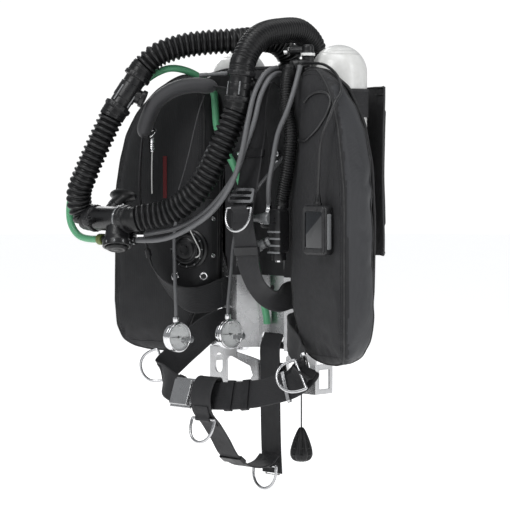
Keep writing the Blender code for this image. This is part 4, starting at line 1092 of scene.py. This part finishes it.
def make_straps():
    """Harness webbing with its sewn ends."""
    for name, stations in STRAPS.items():
        rows = strap_rows(stations)
        shell = Shell(name + "_web")
        shell.skin([webbing_ring(centre, side, up, WEBBING_WIDTH, WEBBING_THICK)
                    for centre, _, side, up in rows], "webbing")
        for share in (0.03, 0.97):
            box_stitch(shell, rows[int(share * (len(rows) - 1))])
        shell.make(UNIT, name, slot="webbing", sharp=60)


RINGS = {
    # name: centre of the bar, along the bar, direction of the bow, body
    "dring_shoulder": ((66, -117, 88), (1, 0.05, 0), (0.02, -0.25, -1), "ring_shoulder"),
    "dring_waist_right": ((-164, -88, -201), (-0.3, -0.18, 1), (-0.27, -0.18, -0.11), "ring_waist_right"),
    "dring_waist_left": ((189.5, -91.5, -195), (-0.68, 0.1, 1), (-0.55, -0.75, -0.33), "ring_waist_left"),
    "dring_crotch_front": ((0, -141, -284), LEFT, (0, -0.3, -1), "ring_crotch_front"),
    "dring_crotch_rear": ((0, 13, -381), LEFT, (0, -0.1, -1), "ring_crotch_rear"),
}
WIRE_RADIUS = 2.6
BOW_STEPS = 32


def make_rings(width=52.0, depth=42.0):
    """D-rings of welded wire, each on its joint's body, with the weld in the middle of the bar."""
    for name, (bar, side, down, body) in RINGS.items():
        bar, side, down = Vector(bar), Vector(side).normalized(), Vector(down)
        down = (down - side * down.dot(side)).normalized()
        half = width / 2 + WIRE_RADIUS
        points = [bar + side * half * t for t in (-1, -0.9, -0.5, 0, 0.5, 0.9)]
        for k in range(BOW_STEPS + 1):
            a = math.pi * k / BOW_STEPS
            reach_down = 8 * min(1, k, BOW_STEPS - k) + (depth - 8) * math.sin(a) ** 0.8
            points.append(bar + side * half * math.cos(a) + down * reach_down)
        line = closed([tuple(p) for p in points], 1.6)
        shell = Shell(name + "_wire")
        shell.tube(line, WIRE_RADIUS, "wire", 18, first=side.cross(down), looped=True)
        shell.lathe([(-1.6, WIRE_RADIUS - 0.1), (-0.7, WIRE_RADIUS + 0.5), (0.7, WIRE_RADIUS + 0.5),
                     (1.6, WIRE_RADIUS - 0.1)], bar, side, "wire", 18, 0.3)
        shell.make(body, name, slot="steel")


RING_STRAPS = {
    "dring_shoulder": "shoulder_strap_left", "dring_waist_right": "waist_strap_right",
    "dring_waist_left": "waist_strap_left", "dring_crotch_front": "crotch_strap_front",
    "dring_crotch_rear": "crotch_strap_front",
}
ROW_STEP = 1.5
# strap: shares of its length with an elastic keeper
KEEPERS = {"shoulder_strap_left": (0.45, 0.72), "waist_strap_right": (0.86,), "waist_strap_left": (0.72, 0.8),
           "crotch_strap_front": (0.3,), "shoulder_strap_right": (0.72,)}


def ring_sleeve(shell, bar, rows, middle, width=36.0):
    """Short webbing sewn to a strap over a ring's bar."""
    facing = 1 if (bar - rows[middle][0]).dot(rows[middle][3]) > 0 else -1
    rise = abs((bar - rows[middle][0]).dot(rows[middle][3])) + WIRE_RADIUS + 1.4
    rest = WEBBING_THICK / 2 + 1.0
    rings = []
    for centre, ahead, side, up in rows[max(0, middle - 15):middle + 16]:
        off = (centre - bar).dot(ahead)
        lift = rest + (rise - rest) * math.exp(-(off / 5.4) ** 2)
        rings.append(webbing_ring(centre + up * facing * lift, side, up * facing, width, 1.7))
    shell.skin(rings, "webbing")


def make_ring_sleeves():
    """Sewn sleeves over the rings' bars, belt slides and elastic keepers."""
    for name, strap in RING_STRAPS.items():
        rows = strap_rows(STRAPS[strap], ROW_STEP)
        bar = Vector(RINGS[name][0])
        middle = min(range(len(rows)), key=lambda k: (rows[k][0] - bar).length)
        shell = Shell(name + "_sleeve")
        ring_sleeve(shell, bar, rows, middle)
        shell.make(UNIT, slot="webbing", sharp=60)
        if strap == "waist_strap_left":
            slides = Shell("belt_slides")
            for step in (-20, 20):
                wrap(slides, rows[middle + step], "steel", 6.0, thick=2.4, clear=1.2)
            slides.make(UNIT, slot="steel")
    for strap, shares in KEEPERS.items():
        rows = strap_rows(STRAPS[strap], ROW_STEP)
        shell = Shell(strap + "_keepers")
        for share in shares:
            wrap(shell, rows[int(share * len(rows))], "rubber", 14.0)
        shell.make(UNIT, slot="rubber")


def polish(node, look, width, sharp=30):
    """Keeps a CAD solid, with its edges broken and a better material."""
    obj = NODES[node]
    obj.data.materials.clear()
    obj.data.materials.append(FINISH[look])
    bevel = obj.modifiers.new("edge", "BEVEL")
    bevel.width = width * MM
    bevel.segments = 2
    bevel.limit_method = "ANGLE"
    bevel.angle_limit = math.radians(sharp)
    bevel.use_clamp_overlap = True


def screw(shell, at, heading, radius=4.0, look="chrome"):
    """A cap screw with a socket, seen from outside."""
    shell.lathe([(0, radius), (radius * 0.7, radius), (radius * 0.8, radius * 0.8),
                 (radius * 0.8, radius * 0.45), (radius * 0.35, radius * 0.4)], at, heading, look, 20, 0.25)


def make_frame():
    """Backplate, stand and harness metal, with the screws that hold the straps."""
    for node in ("backplate", "base_stand"):
        polish(node, "steel", 0.5)
    for node in ("triglide_shoulder", "belt_buckle", "buckle_lever"):
        polish(node, "steel", 0.4)
    shell = Shell("plate_fasteners")
    for x, y, z in ((49, -3.4, 166), (49, -3.4, 182), (84, -0.2, -160)):
        for sign in (-1, 1):
            screw(shell, (sign * x, y, z), FRONT, 4.5)
    shell.make(UNIT, slot="chrome")


# ---------------------------------------------------------------- cylinders and canister

CYLINDER_X, CYLINDER_Y, CYLINDER_RADIUS = 125.0, 73.0, 50.0
CYLINDER_TOP, CYLINDER_NECK, VALVE_Z = 375.0, -92.0, -165.0
CANISTER_Y, CANISTER_RADIUS, CANISTER_BOTTOM, HEAD_Z, HEAD_TOP = 130.0, 80.0, -142.0, 240.0, 300.0


def make_cylinder(side, x):
    """A painted cylinder with its rounded shoulder at the bottom and its dome on top."""
    length = CYLINDER_TOP - CYLINDER_NECK
    profile = [(0, 13), (14, 13)]
    profile += [(22 + 44 * (1 - math.cos(a)), 28 + 22 * math.sin(a)) for a in np.linspace(0, math.pi / 2, 12)]
    for k in range(24):
        a = math.radians(90 * k / 23.5)
        profile.append((length + CYLINDER_RADIUS * (math.sin(a) - 1), CYLINDER_RADIUS * math.cos(a)))
    shell = Shell(f"cylinder_{side}_shell")
    shell.lathe(profile, (x, CYLINDER_Y, CYLINDER_NECK), UP, "paint", 96, 0.0)
    shell.make(UNIT, f"cylinder_{side}", slot="cylinder_paint", sharp=50)


def make_valve(side, x):
    """A cylinder's valve and its fluted knob."""
    at, knob_at = (x, CYLINDER_Y, VALVE_Z), (x - 37.4, CYLINDER_Y, VALVE_Z)
    valve = Shell(f"cylinder_valve_{side}_body")
    valve.lathe([(0, 15), (3, 17), (26, 17), (30, 14), (72, 14), (73, 16), (82, 16), (83, 14), (91.6, 14)],
                (x, CYLINDER_Y, VALVE_Z - 19), UP, "chrome", 40)
    valve.lathe([(0, 12), (18, 12), (19, 13), (26, 13), (30, 12), (31, 8), (37, 8)], at, RIGHT, "chrome", 32)
    valve.lathe([(0, 13), (14, 13), (15, 12), (17, 12), (18, 13), (26, 13)], at, FRONT, "chrome", 32)
    valve.lathe([(0, 6), (20, 6), (21, 5)], (x, CYLINDER_Y, VALVE_Z - 6), (0, 1, 0), "chrome", 6, 0.3)
    valve.make(UNIT, f"cylinder_valve_{side}", slot="chrome")
    look = "green" if side == "right" else "plastic"
    knob = Shell(f"valve_knob_{side}_grip")
    knob.lathe([(0, 12), (3, 17), (30, 17), (34, 13)], knob_at, RIGHT, look, 72, 2.0, flutes=8, depth=2.4)
    knob.lathe([(33, 7), (35.5, 7), (35.6, 4)], knob_at, RIGHT, "chrome", 24, 0.4)
    knob.make(f"knob_{side}", f"valve_knob_{side}", slot="green_knob" if side == "right" else "plastic")


def make_first_stage(side, sign, x):
    """A first stage on its valve, with two ports."""
    front = CYLINDER_Y - 26.4
    at = (x, front, VALVE_Z)
    stage = Shell(f"first_stage_{side}_body")
    stage.lathe([(0, 16), (8, 16), (9, 19), (26, 19), (27, 15), (36, 15), (38, 12)], at, FRONT, "chrome", 48)
    for k in range(3):
        stage.lathe([(10 + k * 5, 19.3), (12.5 + k * 5, 19.3)], at, FRONT, "chrome", 48, 0.5)
    stage.lathe([(0, 8), (20, 8), (21, 6), (26, 6)], (x - sign * 2, front - 18, VALVE_Z), (-sign, 0, 0.7),
                "chrome", 6, 0.4)
    stage.lathe([(0, 7), (23, 7), (24, 5)], (x, front - 18, VALVE_Z), (0, 0.2, -1), "chrome", 6, 0.4)
    stage.make(UNIT, f"first_stage_{side}", slot="chrome")


def make_canister():
    """Scrubber canister and its head, with the two hose ports."""
    r, bottom = CANISTER_RADIUS, CANISTER_BOTTOM
    body = Shell("scrubber_canister_body")
    body.lathe([(0, r - 4), (4, r), (24, r), (26, r - 2), (34, r - 2), (36, r), (HEAD_Z - bottom - 0.4, r)],
               (0, CANISTER_Y, bottom), UP, "plastic", 112, 1.4)
    for z in range(-90, 230, 40):
        body.tube(hoop(0, CANISTER_Y, z, r * 1.002, 0, 60, 4.0), 0.7, "plastic", 8, looped=True)
    body.make(UNIT, "scrubber_canister", slot="plastic")
    head = Shell("canister_head_cap")
    head.lathe([(0, r + 1), (34, r + 1), (38, r - 2), (52, r - 4), (60, r - 12)], (0, CANISTER_Y, HEAD_Z),
               UP, "plastic", 112, 1.6)
    for sign in (-1, 1):
        at = (sign * PORT.x, PORT.y, HEAD_TOP - 10)
        head.lathe([(0, 25), (26, 25), (28, 21), (44, 21)], at, UP, "plastic", 56, 1.0)
        head.lathe([(11, 25.8), (15, 25.8)], at, UP, "chrome", 56, 0.6)
    head.lathe([(0, 20), (16, 20), (20, 14)], (0, 168, HEAD_TOP - 6), UP, "plastic", 48, 1.5)
    for k in range(8):
        a = math.radians(22.5 + 45 * k)
        screw(head, (70 * math.cos(a), CANISTER_Y + 70 * math.sin(a), HEAD_Z + 52), UP, 4.0)
    head.make(UNIT, "canister_head", slot="plastic")


# ---------------------------------------------------------------- breathing loop

def make_tee(name, low, high, branch):
    """A T-piece between two hoses, from low to high, with a side branch."""
    axis = (high - low).normalized()
    length = (high - low).length
    r = LOOP_RADIUS
    tee = Shell(name + "_coupling")
    tee.lathe([(0.4, r + 1), (9, r + 1), (10, r - 4), (22, r - 4), (23, r - 2.5), (length - 23, r - 2.5),
               (length - 22, r - 4), (length - 10, r - 4), (length - 9, r + 1), (length - 0.4, r + 1)],
              low, axis, "plastic", 56)
    for along in (1.5, length - 8.5):
        tee.lathe([(0, r + 1.9), (7, r + 1.9)], low + axis * along, axis, "plastic", 60,
                  1.0, flutes=20, depth=0.9)
    tee.lathe([(0, 13), (26, 13), (27, 16), (34, 16)], (low + high) / 2, branch, "plastic", 40)
    for out in spokes(axis, 4, 45.0):
        tee.lathe([(0, 1.4), (length * 0.42, 1.4)], low + axis * 12 + out * (r - 2.6),
                  axis, "bright", 12, 0.4)
    tee.make(UNIT, name, slot="plastic")


BOWL = MOUTH + Vector((22, -6, -14))
BITE_FROM, BITE_OUT = MOUTH + Vector((-18, 0, 0)), Vector((0, 0.75, 0.7))
PURGE_OUT = Vector((0.25, -0.25, -1)).normalized()
LEVER_X = -24.0
LEVER_OUT = Vector((0, -0.99, -0.14)).normalized()


def make_mouthpiece():
    """Mouthpiece housing with its barrel, bowl and gas ports."""
    h = BARREL - 0.4
    body = Shell("mouthpiece_body")
    body.lathe([(-h, 24), (-h + 10, 24), (-h + 11, 20), (-h + 16, 22), (h - 26, 22), (h - 25, 25),
                (h - 12, 25), (h - 11, 24), (h, 24)], MOUTH, LEFT, "plastic", 64, 1.0)
    for at in (-h + 1.5, h - 8.5):
        body.lathe([(0, 25), (7, 25)], MOUTH + Vector((at, 0, 0)), LEFT, "plastic", 72,
                   1.2, flutes=24, depth=0.9)
    body.lathe([(0, 25.4), (4, 25.4)], MOUTH + Vector((h - 22, 0, 0)), LEFT, "bright", 64, 0.6)
    body.lathe([(0, 20), (20, 22), (28, 26), (37.5, 26), (38, 25), (38, 21), (32.4, 20.8)], BOWL, PURGE_OUT,
               "plastic", 64, 1.2)
    for out in spokes(PURGE_OUT, 10):
        body.lathe([(0, 2.2), (5, 2.2), (6, 1.5)], BOWL + PURGE_OUT * 29.5 + out * 23.6,
                   PURGE_OUT + out * 0.25, "bright", 12, 0.5)
    body.lathe([(0, 13), (30, 13)], BITE_FROM, BITE_OUT, "plastic", 40)
    for start, heading in ((MOUTH_LOW, RIGHT), (GAS_PORT, GAS_PORT_OUT)):
        body.lathe([(0, 8), (24, 8), (25, 6.8), (27, 6.8), (28, 8), (40, 8)], start, heading, "plastic", 32)
        body.lathe([(28.5, 8.8), (38, 8.8)], start, heading, "chrome", 6, 0.5)
    body.lathe([(0, 8), (17, 8)], MOUTH_LOW + Vector((16, 0, 0)), RIGHT, "plastic", 32)
    body.lathe([(26.5, 10.4), (38.5, 10.4)], MOUTH_LOW, RIGHT, "green", 40, 0.8, flutes=16, depth=0.6)
    for k in range(5):
        a = math.radians(-70 + 35 * k)
        at = MOUTH + Vector((h - 18.5, 25 * math.sin(a) * -1, 25 * math.cos(a)))
        screw(body, at, (0, -math.sin(a), math.cos(a)), 2.4)
    body.make(UNIT, "mouthpiece_housing", slot="plastic")


def make_bite():
    """Rubber bite piece: a tube that widens into a flange with two lugs."""
    axis = BITE_OUT.normalized()
    start = BITE_FROM + axis * 30.4
    tall = axis.cross(Vector(LEFT))
    bite = Shell("mouthpiece_bite_rubber")
    rings = []
    for along, wide, high in ((0, 15, 13), (6, 15.2, 12.8), (12, 16, 12), (18, 18, 11.4), (22, 22, 11),
                              (24, 28, 12), (26, 33, 14), (29, 34, 14.4), (32, 33, 14), (34, 26, 9.5),
                              (33.5, 15, 7.6), (28, 10, 6.8), (10, 9, 6.6)):
        rings.append([start + axis * along + Vector(LEFT) * wide * math.cos(2 * math.pi * k / 48)
                      + tall * high * math.sin(2 * math.pi * k / 48) for k in range(48)])
    bite.skin(rings, "rubber")
    bite.make(UNIT, "mouthpiece_bite", slot="rubber")


def make_mouth_controls():
    """The mouthpiece's lever knob and purge button."""
    lever = Shell("mouthpiece_lever_knob")
    lever.lathe([(0, 6), (7, 6), (9, 9), (19, 9), (21, 6)],
                MOUTH + LEVER_OUT * 22.4 + Vector((LEVER_X, 0, 0)),
                LEVER_OUT, "plastic", 64, 1.0, flutes=8, depth=1.3)
    lever.make("loop_lever", "mouthpiece_lever", slot="plastic")
    purge = Shell("purge_button_rubber")
    purge.lathe([(0, 20), (5, 20), (8, 15), (7.2, 11), (7.2, 7), (8.0, 5)],
                BOWL + PURGE_OUT * 35.8, PURGE_OUT, "rubber", 64, 1.0)
    purge.make("purge", "purge_button", slot="rubber")


# ---------------------------------------------------------------- inflator, gauges and handset

INFLATOR = Vector((108, -64, 0))
GAUGE_RADIUS = 27.0


def make_inflator():
    """Bladder inflator with its two buttons, side barrel and mouth tube."""
    x, y = INFLATOR.x, INFLATOR.y
    body = Shell("inflator_body_shell")
    body.block((x - 13, y - 12, 8.5), (x + 15, y + 14, 86), "plastic", 4)
    body.lathe([(13, 7.0), (0, 7.0), (0, 12.8), (13, 12.8)], (x + 1, y + 1, -4), UP, "plastic", 40, 0.8)
    body.block((x - 34, y - 11.2, 52), (x - 10, y + 8, 78), "plastic", 3)
    body.lathe([(0, 9.5), (3, 10.8), (12, 10.8), (15, 9), (22, 8.4), (30, 6.4), (41, 5.6), (42, 6.6),
                (48, 6.6), (49, 4.5)],
               (x - 9, y - 10, 69), (-1, -0.12, 0), "bright", 40)
    body.lathe([(0, 7), (10, 7), (11, 5.4), (22, 5.4)], (88, -67, 76), UP, "chrome", 6, 0.5)
    for z in (8, 20, 32, 44):
        body.block((x - 14, y - 13.2, z), (x + 16, y - 10, z + 3.5), "bright", 1.2)
    body.lathe([(0, 10.5), (4, 10.5), (5, 9.5), (11, 9.5)], (x + 2, y + 2, 78), (0, 0.3, 1), "plastic", 40)
    body.make(UNIT, "inflator_body", slot="plastic")
    collar = Shell("inflator_mouth_tube")
    axis = Vector((-0.78, -0.45, -0.42)).normalized()
    start = Vector((x - 10, y - 10, 30))
    collar.lathe([(0, 8), (18, 8), (19, 10), (25, 10), (26, 8.4), (25, 6.4), (18, 6)],
                 start, axis, "bright", 40)
    collar.lathe([(6, 8.7), (10, 8.7)], start, axis, "plastic", 40, 0.5)
    collar.make(UNIT, slot="plastic")
    for name, body_name, at, out, profile in (
            ("inflate_button", "inflate", (x - 23, y - 11.4, 65), FRONT,
             [(0, 6), (5.6, 6), (6.6, 5), (6.2, 3)]),
            ("deflate_button", "deflate", (x + 1, y + 1, 4.6), DOWN,
             [(0, 6.2), (11, 6.2), (12, 5), (11.5, 3)])):
        Shell(name + "_cap").lathe(profile, at, out, "chrome", 36, 0.6).make(body_name, name, slot="chrome")


def make_gauge(side):
    """Pressure gauge with a chrome case, dial, ticks and glass."""
    centre, facing = GAUGES[side]
    r = GAUGE_RADIUS
    case = Shell(f"gauge_{side}_case")
    case.lathe([(0, r - 4), (3, r - 1), (6, r), (12, r), (13, r - 0.7), (14, r), (18, r),
                (20, r - 2), (20, r - 3.2), (17.5, r - 4), (14.0, r - 4)], centre, facing, "chrome", 72, 0.7)
    case.lathe([(0, 7), (18, 7), (19, 8), (26, 8), (27, 5), (36, 5)],
               centre + facing * 8, UP, "chrome", 6, 0.5)
    case.lathe([(27, 5.6), (36, 5.6)], centre + facing * 8, UP, "chrome", 32, 0.5)
    case.make(UNIT, f"gauge_{side}", slot="chrome")
    dial = Shell(f"gauge_{side}_dial")
    dial.lathe([(0.02, r - 4.3), (0.3, r - 4.3)], centre + facing * 14.0, facing, "dial", 72, 0.05)
    level = facing.cross(Vector(UP)).normalized()

    def out(degrees):
        a = math.radians(degrees)
        return level * -math.cos(a) + Vector(UP) * math.sin(a)

    for k in range(31):
        inner, thick = (r - 9.5, 0.42) if k % 5 == 0 else (r - 8.0, 0.25)
        way = out(225 - 9 * k)
        dial.lathe([(0, thick), (r - 6.0 - inner, thick)], centre + facing * 14.3 + way * inner, way,
                   "ink", 8, 0.1)
    dial.tube([centre + facing * 14.35 + out(a) * 12.0 for a in range(-40, 0, 3)], 0.5, "red", 6)
    dial.make(UNIT, slot="chrome")
    glass = Shell(f"gauge_{side}_glass")
    glass.lathe([(0, r - 3.7), (1.0, r - 3.7)], centre + facing * 18.0, facing, "glass", 72, 0.2)
    glass.make(UNIT, slot="display")
    needle = NODES[f"gauge_needle_{side}"].data.materials
    needle.clear()
    needle.append(FINISH["ink"])
    boot = Shell(f"gauge_{side}_swivel")
    boot.lathe([(0, 6.5), (6, 6.5), (7, 5.6), (10, 5.6), (11, 6.8), (24, 6.8), (26, 5)],
               centre + facing * 10 + Vector((0, 8, -6)), (0.25, 1, 0.02), "bright", 32)
    boot.make(UNIT, slot="chrome")


def make_handset():
    """Display handset: case, bezel, a pale strip down its side that is a painted highlight, cable gland and
    screen.
    """
    low, high = Vector((213, -113, 10)), Vector((263, -89, 94))
    case = Shell("handset_case")
    case.block((low.x, low.y + 3.4, low.z), high, "plastic", 3.5)
    middle = Vector(((low.x + high.x) / 2, low.y + 2.0, (low.z + high.z) / 2 + 1))
    outer = rounded(24.6, 39.5, 6)
    inner = rounded(19.2, 31.2, 3.5)
    rings = []
    for loop, y in ((inner, 1.9), (outer, 1.9), (outer, -1.2),
                    ([(x * 0.97, z * 0.98) for x, z in outer], -2.0),
                    ([(x * 1.03, z * 1.02) for x, z in inner], -2.0), (inner, -1.4)):
        rings.append([middle + Vector((p[0], y, p[1])) for p in loop])
    case.skin(rings, "plastic", looped=True)
    # pale grey strip down the case's side facing the camera: a painted highlight, not a part
    case.block((262, -105, 20), (265, -97, 80), "bright", 1.3)
    case.lathe([(0, 7.5), (5, 7.5), (6, 5.6), (12, 5.0), (20, 3.6)], (238, -101, 93), UP, "plastic", 32)
    case.make(UNIT, "handset", slot="plastic")
    screen = Shell("handset_screen_pane")
    screen.slab(rounded(19.0, 31.0, 3.0), -1.0, 1.0, "screen",
                (middle.x, low.y + 1.8 + 0.4, middle.z), soften=0.5)
    screen.make(UNIT, "handset_screen", slot="display")


def make_dump_valve():
    """Over-pressure valve on the right counterlung, in rising rings with small bolts round one of them."""
    x = 138.0
    facing = Vector((0.31, -0.95, 0)).normalized()
    at = Vector((-x, lung_front(x), 8)) + facing * 0.4
    valve = Shell("dump_valve_body")
    valve.lathe([(0, 38), (5, 38), (7, 34), (9, 34.5), (13, 33), (13, 30), (11, 29), (14, 27), (20, 26),
                 (20, 23), (17.5, 21.5), (19, 19), (22, 17), (22, 9), (20, 8)], at, facing, "plastic", 72, 0.6)
    for out in spokes(facing, 12):
        valve.lathe([(0, 1.2), (3.6, 1.2)], at + facing * 12.2 + out * 29.6, out, "bright", 8, 0.3)
    valve.make(UNIT, "dump_valve", slot="plastic")


PULL = (136.0, -34.0, -152.0, 144.0)    # x, y and top of the cord under the left counterlung, and its length


def make_pull():
    """Pull cord with its fluted rubber knob."""
    x, y, top, length = PULL
    at = (x, y, top - length - 0.4)
    knob = Shell("pull_knob_rubber")
    knob.lathe([(0, 4), (6, 8), (22, 15), (38, 20), (48, 21), (56, 17), (60, 9)], at, DOWN, "rubber", 96, 3.0,
               flutes=8, depth=4.2)
    for along, r in ((22, 14.0), (34, 18.0), (46, 19.8)):
        knob.lathe([(along, r), (along + 2.4, r)], at, DOWN, "rubber", 48, 0.8)
    knob_obj = knob.make("pull", "pull_knob", slot="rubber")
    line = [(x, y, top - (length + 8) * k / 14) for k in range(15)]
    free_cord("pull_cord_line", line, 3.0, "cord", ("pull_cord",), "pull")


PLATE_LINE = [(-98, 0), (-60, 0), (-34, 32), (34, 32), (60, 0), (98, 0)]


def make_liner():
    """Thin dark cloth bonded over the front of the backplate above its strap slots."""
    edge = [(-38, 82), (-6, 84), (4, 96), (120, 96), (170, 88), (222, 74), (231, 66)]
    heights = np.linspace(-38, 231, 46)
    widths = np.interp(heights, [z for z, _ in edge], [w for _, w in edge])
    shares = np.linspace(-1, 1, 61)
    rings = []
    for share in shares:
        outer, inner = [], []
        for z, wide in zip(heights, widths):
            x = share * wide
            y = float(np.interp(x, [p[0] for p in PLATE_LINE], [p[1] for p in PLATE_LINE]))
            outer.append(Vector((x, y - 0.62, z)))
            inner.append(Vector((x, y - 0.18, z)))
        rings.append(outer + inner[::-1])
    liner = Shell("plate_liner").skin(rings, "nylon").make(UNIT, slot="fabric")


def make_flap(lung):
    """Cloth flap over the right counterlung's inner edge with its fixings, and the red stripe above it."""
    line = [(-x, lung_front(x)) for x in (166, 150, 135, 120, 108)] + [(-101, -26), (-101, -8)]
    line = even(np.array([(x, y, 0) for x, y in line], float), 4.0)
    columns = []
    for k, (x, y, _) in enumerate(line):
        low = -57 - 21 * k / (len(line) - 1)
        columns.append([(x, y, z) for z in np.linspace(low, 98, 40)])
    flap = patch("counterlung_flap", lung, columns, "nylon").make(UNIT, slot="fabric")
    hem = Shell("counterlung_flap_hem")
    outline = columns[0][::-1] + [c[0] for c in columns] + columns[-1] + [c[-1] for c in columns[::-1]]
    edge = even(np.array(settle(lung, closed(outline, 4.0), 1.3)), 3.0)
    hem.tube(edge, 1.3, "binding", 8, looped=True)
    hem.make(UNIT, slot="fabric")
    metal = Shell("counterlung_flap_fixings")
    for spot, normal in landed(lung, [(-163, -53, -43), (-110, -35, -41)]):
        metal.lathe([(0, 7.6), (1.0, 7.6), (1.8, 6.2), (0.8, 3.8)], spot + normal * 2.0,
                    normal, "chrome", 32, 0.3)
        metal.lathe([(0.4, 4.6), (1.5, 4.6)], spot + normal * 2.0, normal, "rubber", 24, 0.2)
    for spot, normal in landed(lung, [(-101, -20, z) for z in (64, -3, -66)]):
        screw(metal, spot + normal * 1.8, normal, 4.2)
    metal.make(UNIT, slot="chrome")
    stripe = [[(x, lung_front(-x), z) for z in np.linspace(101, 178, 24)]
              for x in (-189, -187, -185, -183, -181.5)]
    patch("counterlung_red_stripe", lung, stripe, "red", 0.1, 0.7).make(UNIT, slot="fabric")


def make_manifold():
    """Elbow on the bladder's inflation port, with its pale collar and side fitting."""
    at = Vector((106, 13, 328))
    elbow = Shell("bladder_elbow")
    elbow.lathe([(0, 13), (4, 13), (5, 10.5), (24, 10.5), (25, 12), (33, 12),
                 (34, 10.5), (42, 10.5), (46, 8)],
                at, UP, "plastic", 48)
    elbow.lathe([(26, 12.6), (31, 12.6)], at, UP, "paint", 48, 0.6)
    port, out = at + Vector((0, 0, 36)), (-1, -0.25, 0)
    elbow.lathe([(0, 7), (30, 7), (31, 8), (35, 8)], port, out, "plastic", 32)
    elbow.lathe([(35.2, 7.4), (46, 7.4), (47, 5)], port, out, "chrome", 6, 0.5)
    elbow.lathe([(0, 10), (22, 10), (23, 12.8), (33, 12.8)], at + Vector((2, 2, 14)),
                (-0.42, -0.9, -0.28), "plastic", 40)
    elbow.make(UNIT, slot="plastic")


SECOND_HOSE = [
    (-124.5, -180, 38), (-113, -173, 39), (-94, -163, 43), (-64, -152, 49), (-30, -140, 63), (4, -129, 87),
    (36, -122, 119), (60, -118, 150), (74, -112, 190), (88, -103, 236), (87, -84, 286), (85, -62, 313),
    (79, -40, 322), (72, -22, 323),
]
VALVE_CORD = [(-120, -61, 46), (-112, -61, 34), (-103, -59, 19), (-97.5, -57, 7),
              (-98.5, -57, -2), (-106, -59, -6)]
PAD_CORD = [(-92, -50, 288), (-98, -57, 262), (-105, -63, 226), (-113, -68, 186),
            (-122, -73, 148), (-131, -78, 117)]
ROD = (-158, -118)                      # X and Y of the clip that the pale cord hangs from
ROD_CORD = [(*ROD, 186), (-158.4, -118.5, 160), (-158, -119, 135), (-157.6, -119, 110)]
CABLE_LOOP = [(162, 270), (180, 281), (204, 287), (226, 285), (238, 272), (236, 250), (224, 233), (207, 221),
              (190, 212), (172, 204), (150, 205)]


def make_small_lines(left_lung):
    """The second grey hose, the valve's pale cord, the cable loop, the thin cords and their fittings."""
    free_cord("second_grey_hose", SECOND_HOSE, 9.0, "grey_hose",
              cord_slot="grey_hose")
    free_cord("valve_pull_cord", VALVE_CORD, 2.4, "white_cord")
    free_cord("pad_cord", PAD_CORD, 2.2, "cord")
    free_cord("pale_hanging_cord", ROD_CORD, 2.4, "white_cord")
    loop = settle(left_lung, [(x, lung_front(x), z) for x, z in CABLE_LOOP], 2.6)
    free_cord("cable_loop", loop, 4.4, "black_hose", cord_slot="rubber")
    metal = Shell("cord_fittings")
    metal.lathe([(0, 3), (3, 5.4), (9, 5.4), (12, 3.2), (20, 3.2), (22, 5), (26, 5), (28, 3)],
                (*ROD, 212), DOWN, "chrome", 28)
    metal.tube(hoop(*ROD, 219, 7, tilt=1), 1.6, "chrome", 12, looped=True)
    metal.lathe([(0, 3.4), (2, 4.2), (14, 4.2), (15, 3.4), (38, 3.4), (39, 4.2), (50, 4.2), (52, 3.4)],
                (-90, -65, 323), (0.66, 0.74, 0.08), "bright", 28)
    start, heading = Vector(SECOND_HOSE[0]), Vector((-1, -0.45, 0)).normalized()
    metal.lathe([(-11, 6.2), (-9, 7.2), (0, 7.2), (1, 8), (9, 8), (10, 6.5), (24, 6.5)],
                start, heading, "chrome", 6, 0.4)
    for k in range(5):
        metal.tube(hoop(*ROD, 205 - 3.2 * k, 6), 0.9, "chrome", 8, looped=True)
    metal.make(UNIT, slot="chrome")


PAD_WIDE, PAD_THICK = 27.0, 14.0        # half of each


def make_shoulder_pad():
    """Foam pad on the right shoulder strap, where it rolls over the diver's shoulder."""
    rows = strap_rows(STRAPS["shoulder_strap_right"], 3.0)
    first = next(k for k, r in enumerate(rows) if r[0].x < -66)
    last = next(k for k, r in enumerate(rows) if k > first and r[0].z < 214)
    rings = []
    span = last - first
    for k in range(first, last + 1):
        centre, _, side, up = rows[k]
        end = min(k - first, last - k) / span * 2
        grow = math.sqrt(max(0.02, 1 - (1 - min(1.0, end * 4.5)) ** 2))
        wide, thick = PAD_WIDE * (0.6 + 0.4 * grow), PAD_THICK * grow
        ring = []
        for a in np.linspace(0, 2 * math.pi, 32, endpoint=False):
            c, s = math.cos(a), math.sin(a)
            ring.append(centre + side * wide * math.copysign(abs(c) ** 0.85, c)
                        + up * thick * math.copysign(abs(s) ** 0.85, s))
        rings.append(ring)
    pad = Shell("shoulder_pad").skin(rings, "foam").make(UNIT, slot="fabric")


# ---------------------------------------------------------------- the whole unit


def main():
    """Builds everything in the scene."""
    make_camera()
    make_studio()
    make_hoses()
    make_straps()
    lungs = {}
    for side, sign in (("left", 1), ("right", -1)):
        lungs[side] = make_counterlung(side, sign)
        make_cylinder(side, sign * CYLINDER_X)
        make_valve(side, sign * CYLINDER_X)
        make_first_stage(side, sign, sign * CYLINDER_X)
        make_gauge(side)
    make_wing()
    make_cover()
    make_band()
    make_frame()
    make_rings()
    make_ring_sleeves()
    make_liner()
    make_flap(lungs["right"])
    make_manifold()
    make_small_lines(lungs["left"])
    make_canister()
    make_tee("tee_right", TEE_RIGHT_LOW, TEE_RIGHT_HIGH, (0.3, 1, 0))
    make_tee("tee_left", TEE_LEFT_LOW, TEE_LEFT_HIGH, (0.8, 0.7, -0.5))
    make_mouthpiece()
    make_bite()
    make_mouth_controls()
    make_inflator()
    make_handset()
    make_dump_valve()
    make_pull()
    make_shoulder_pad()


FINISH = make_finishes()
main()
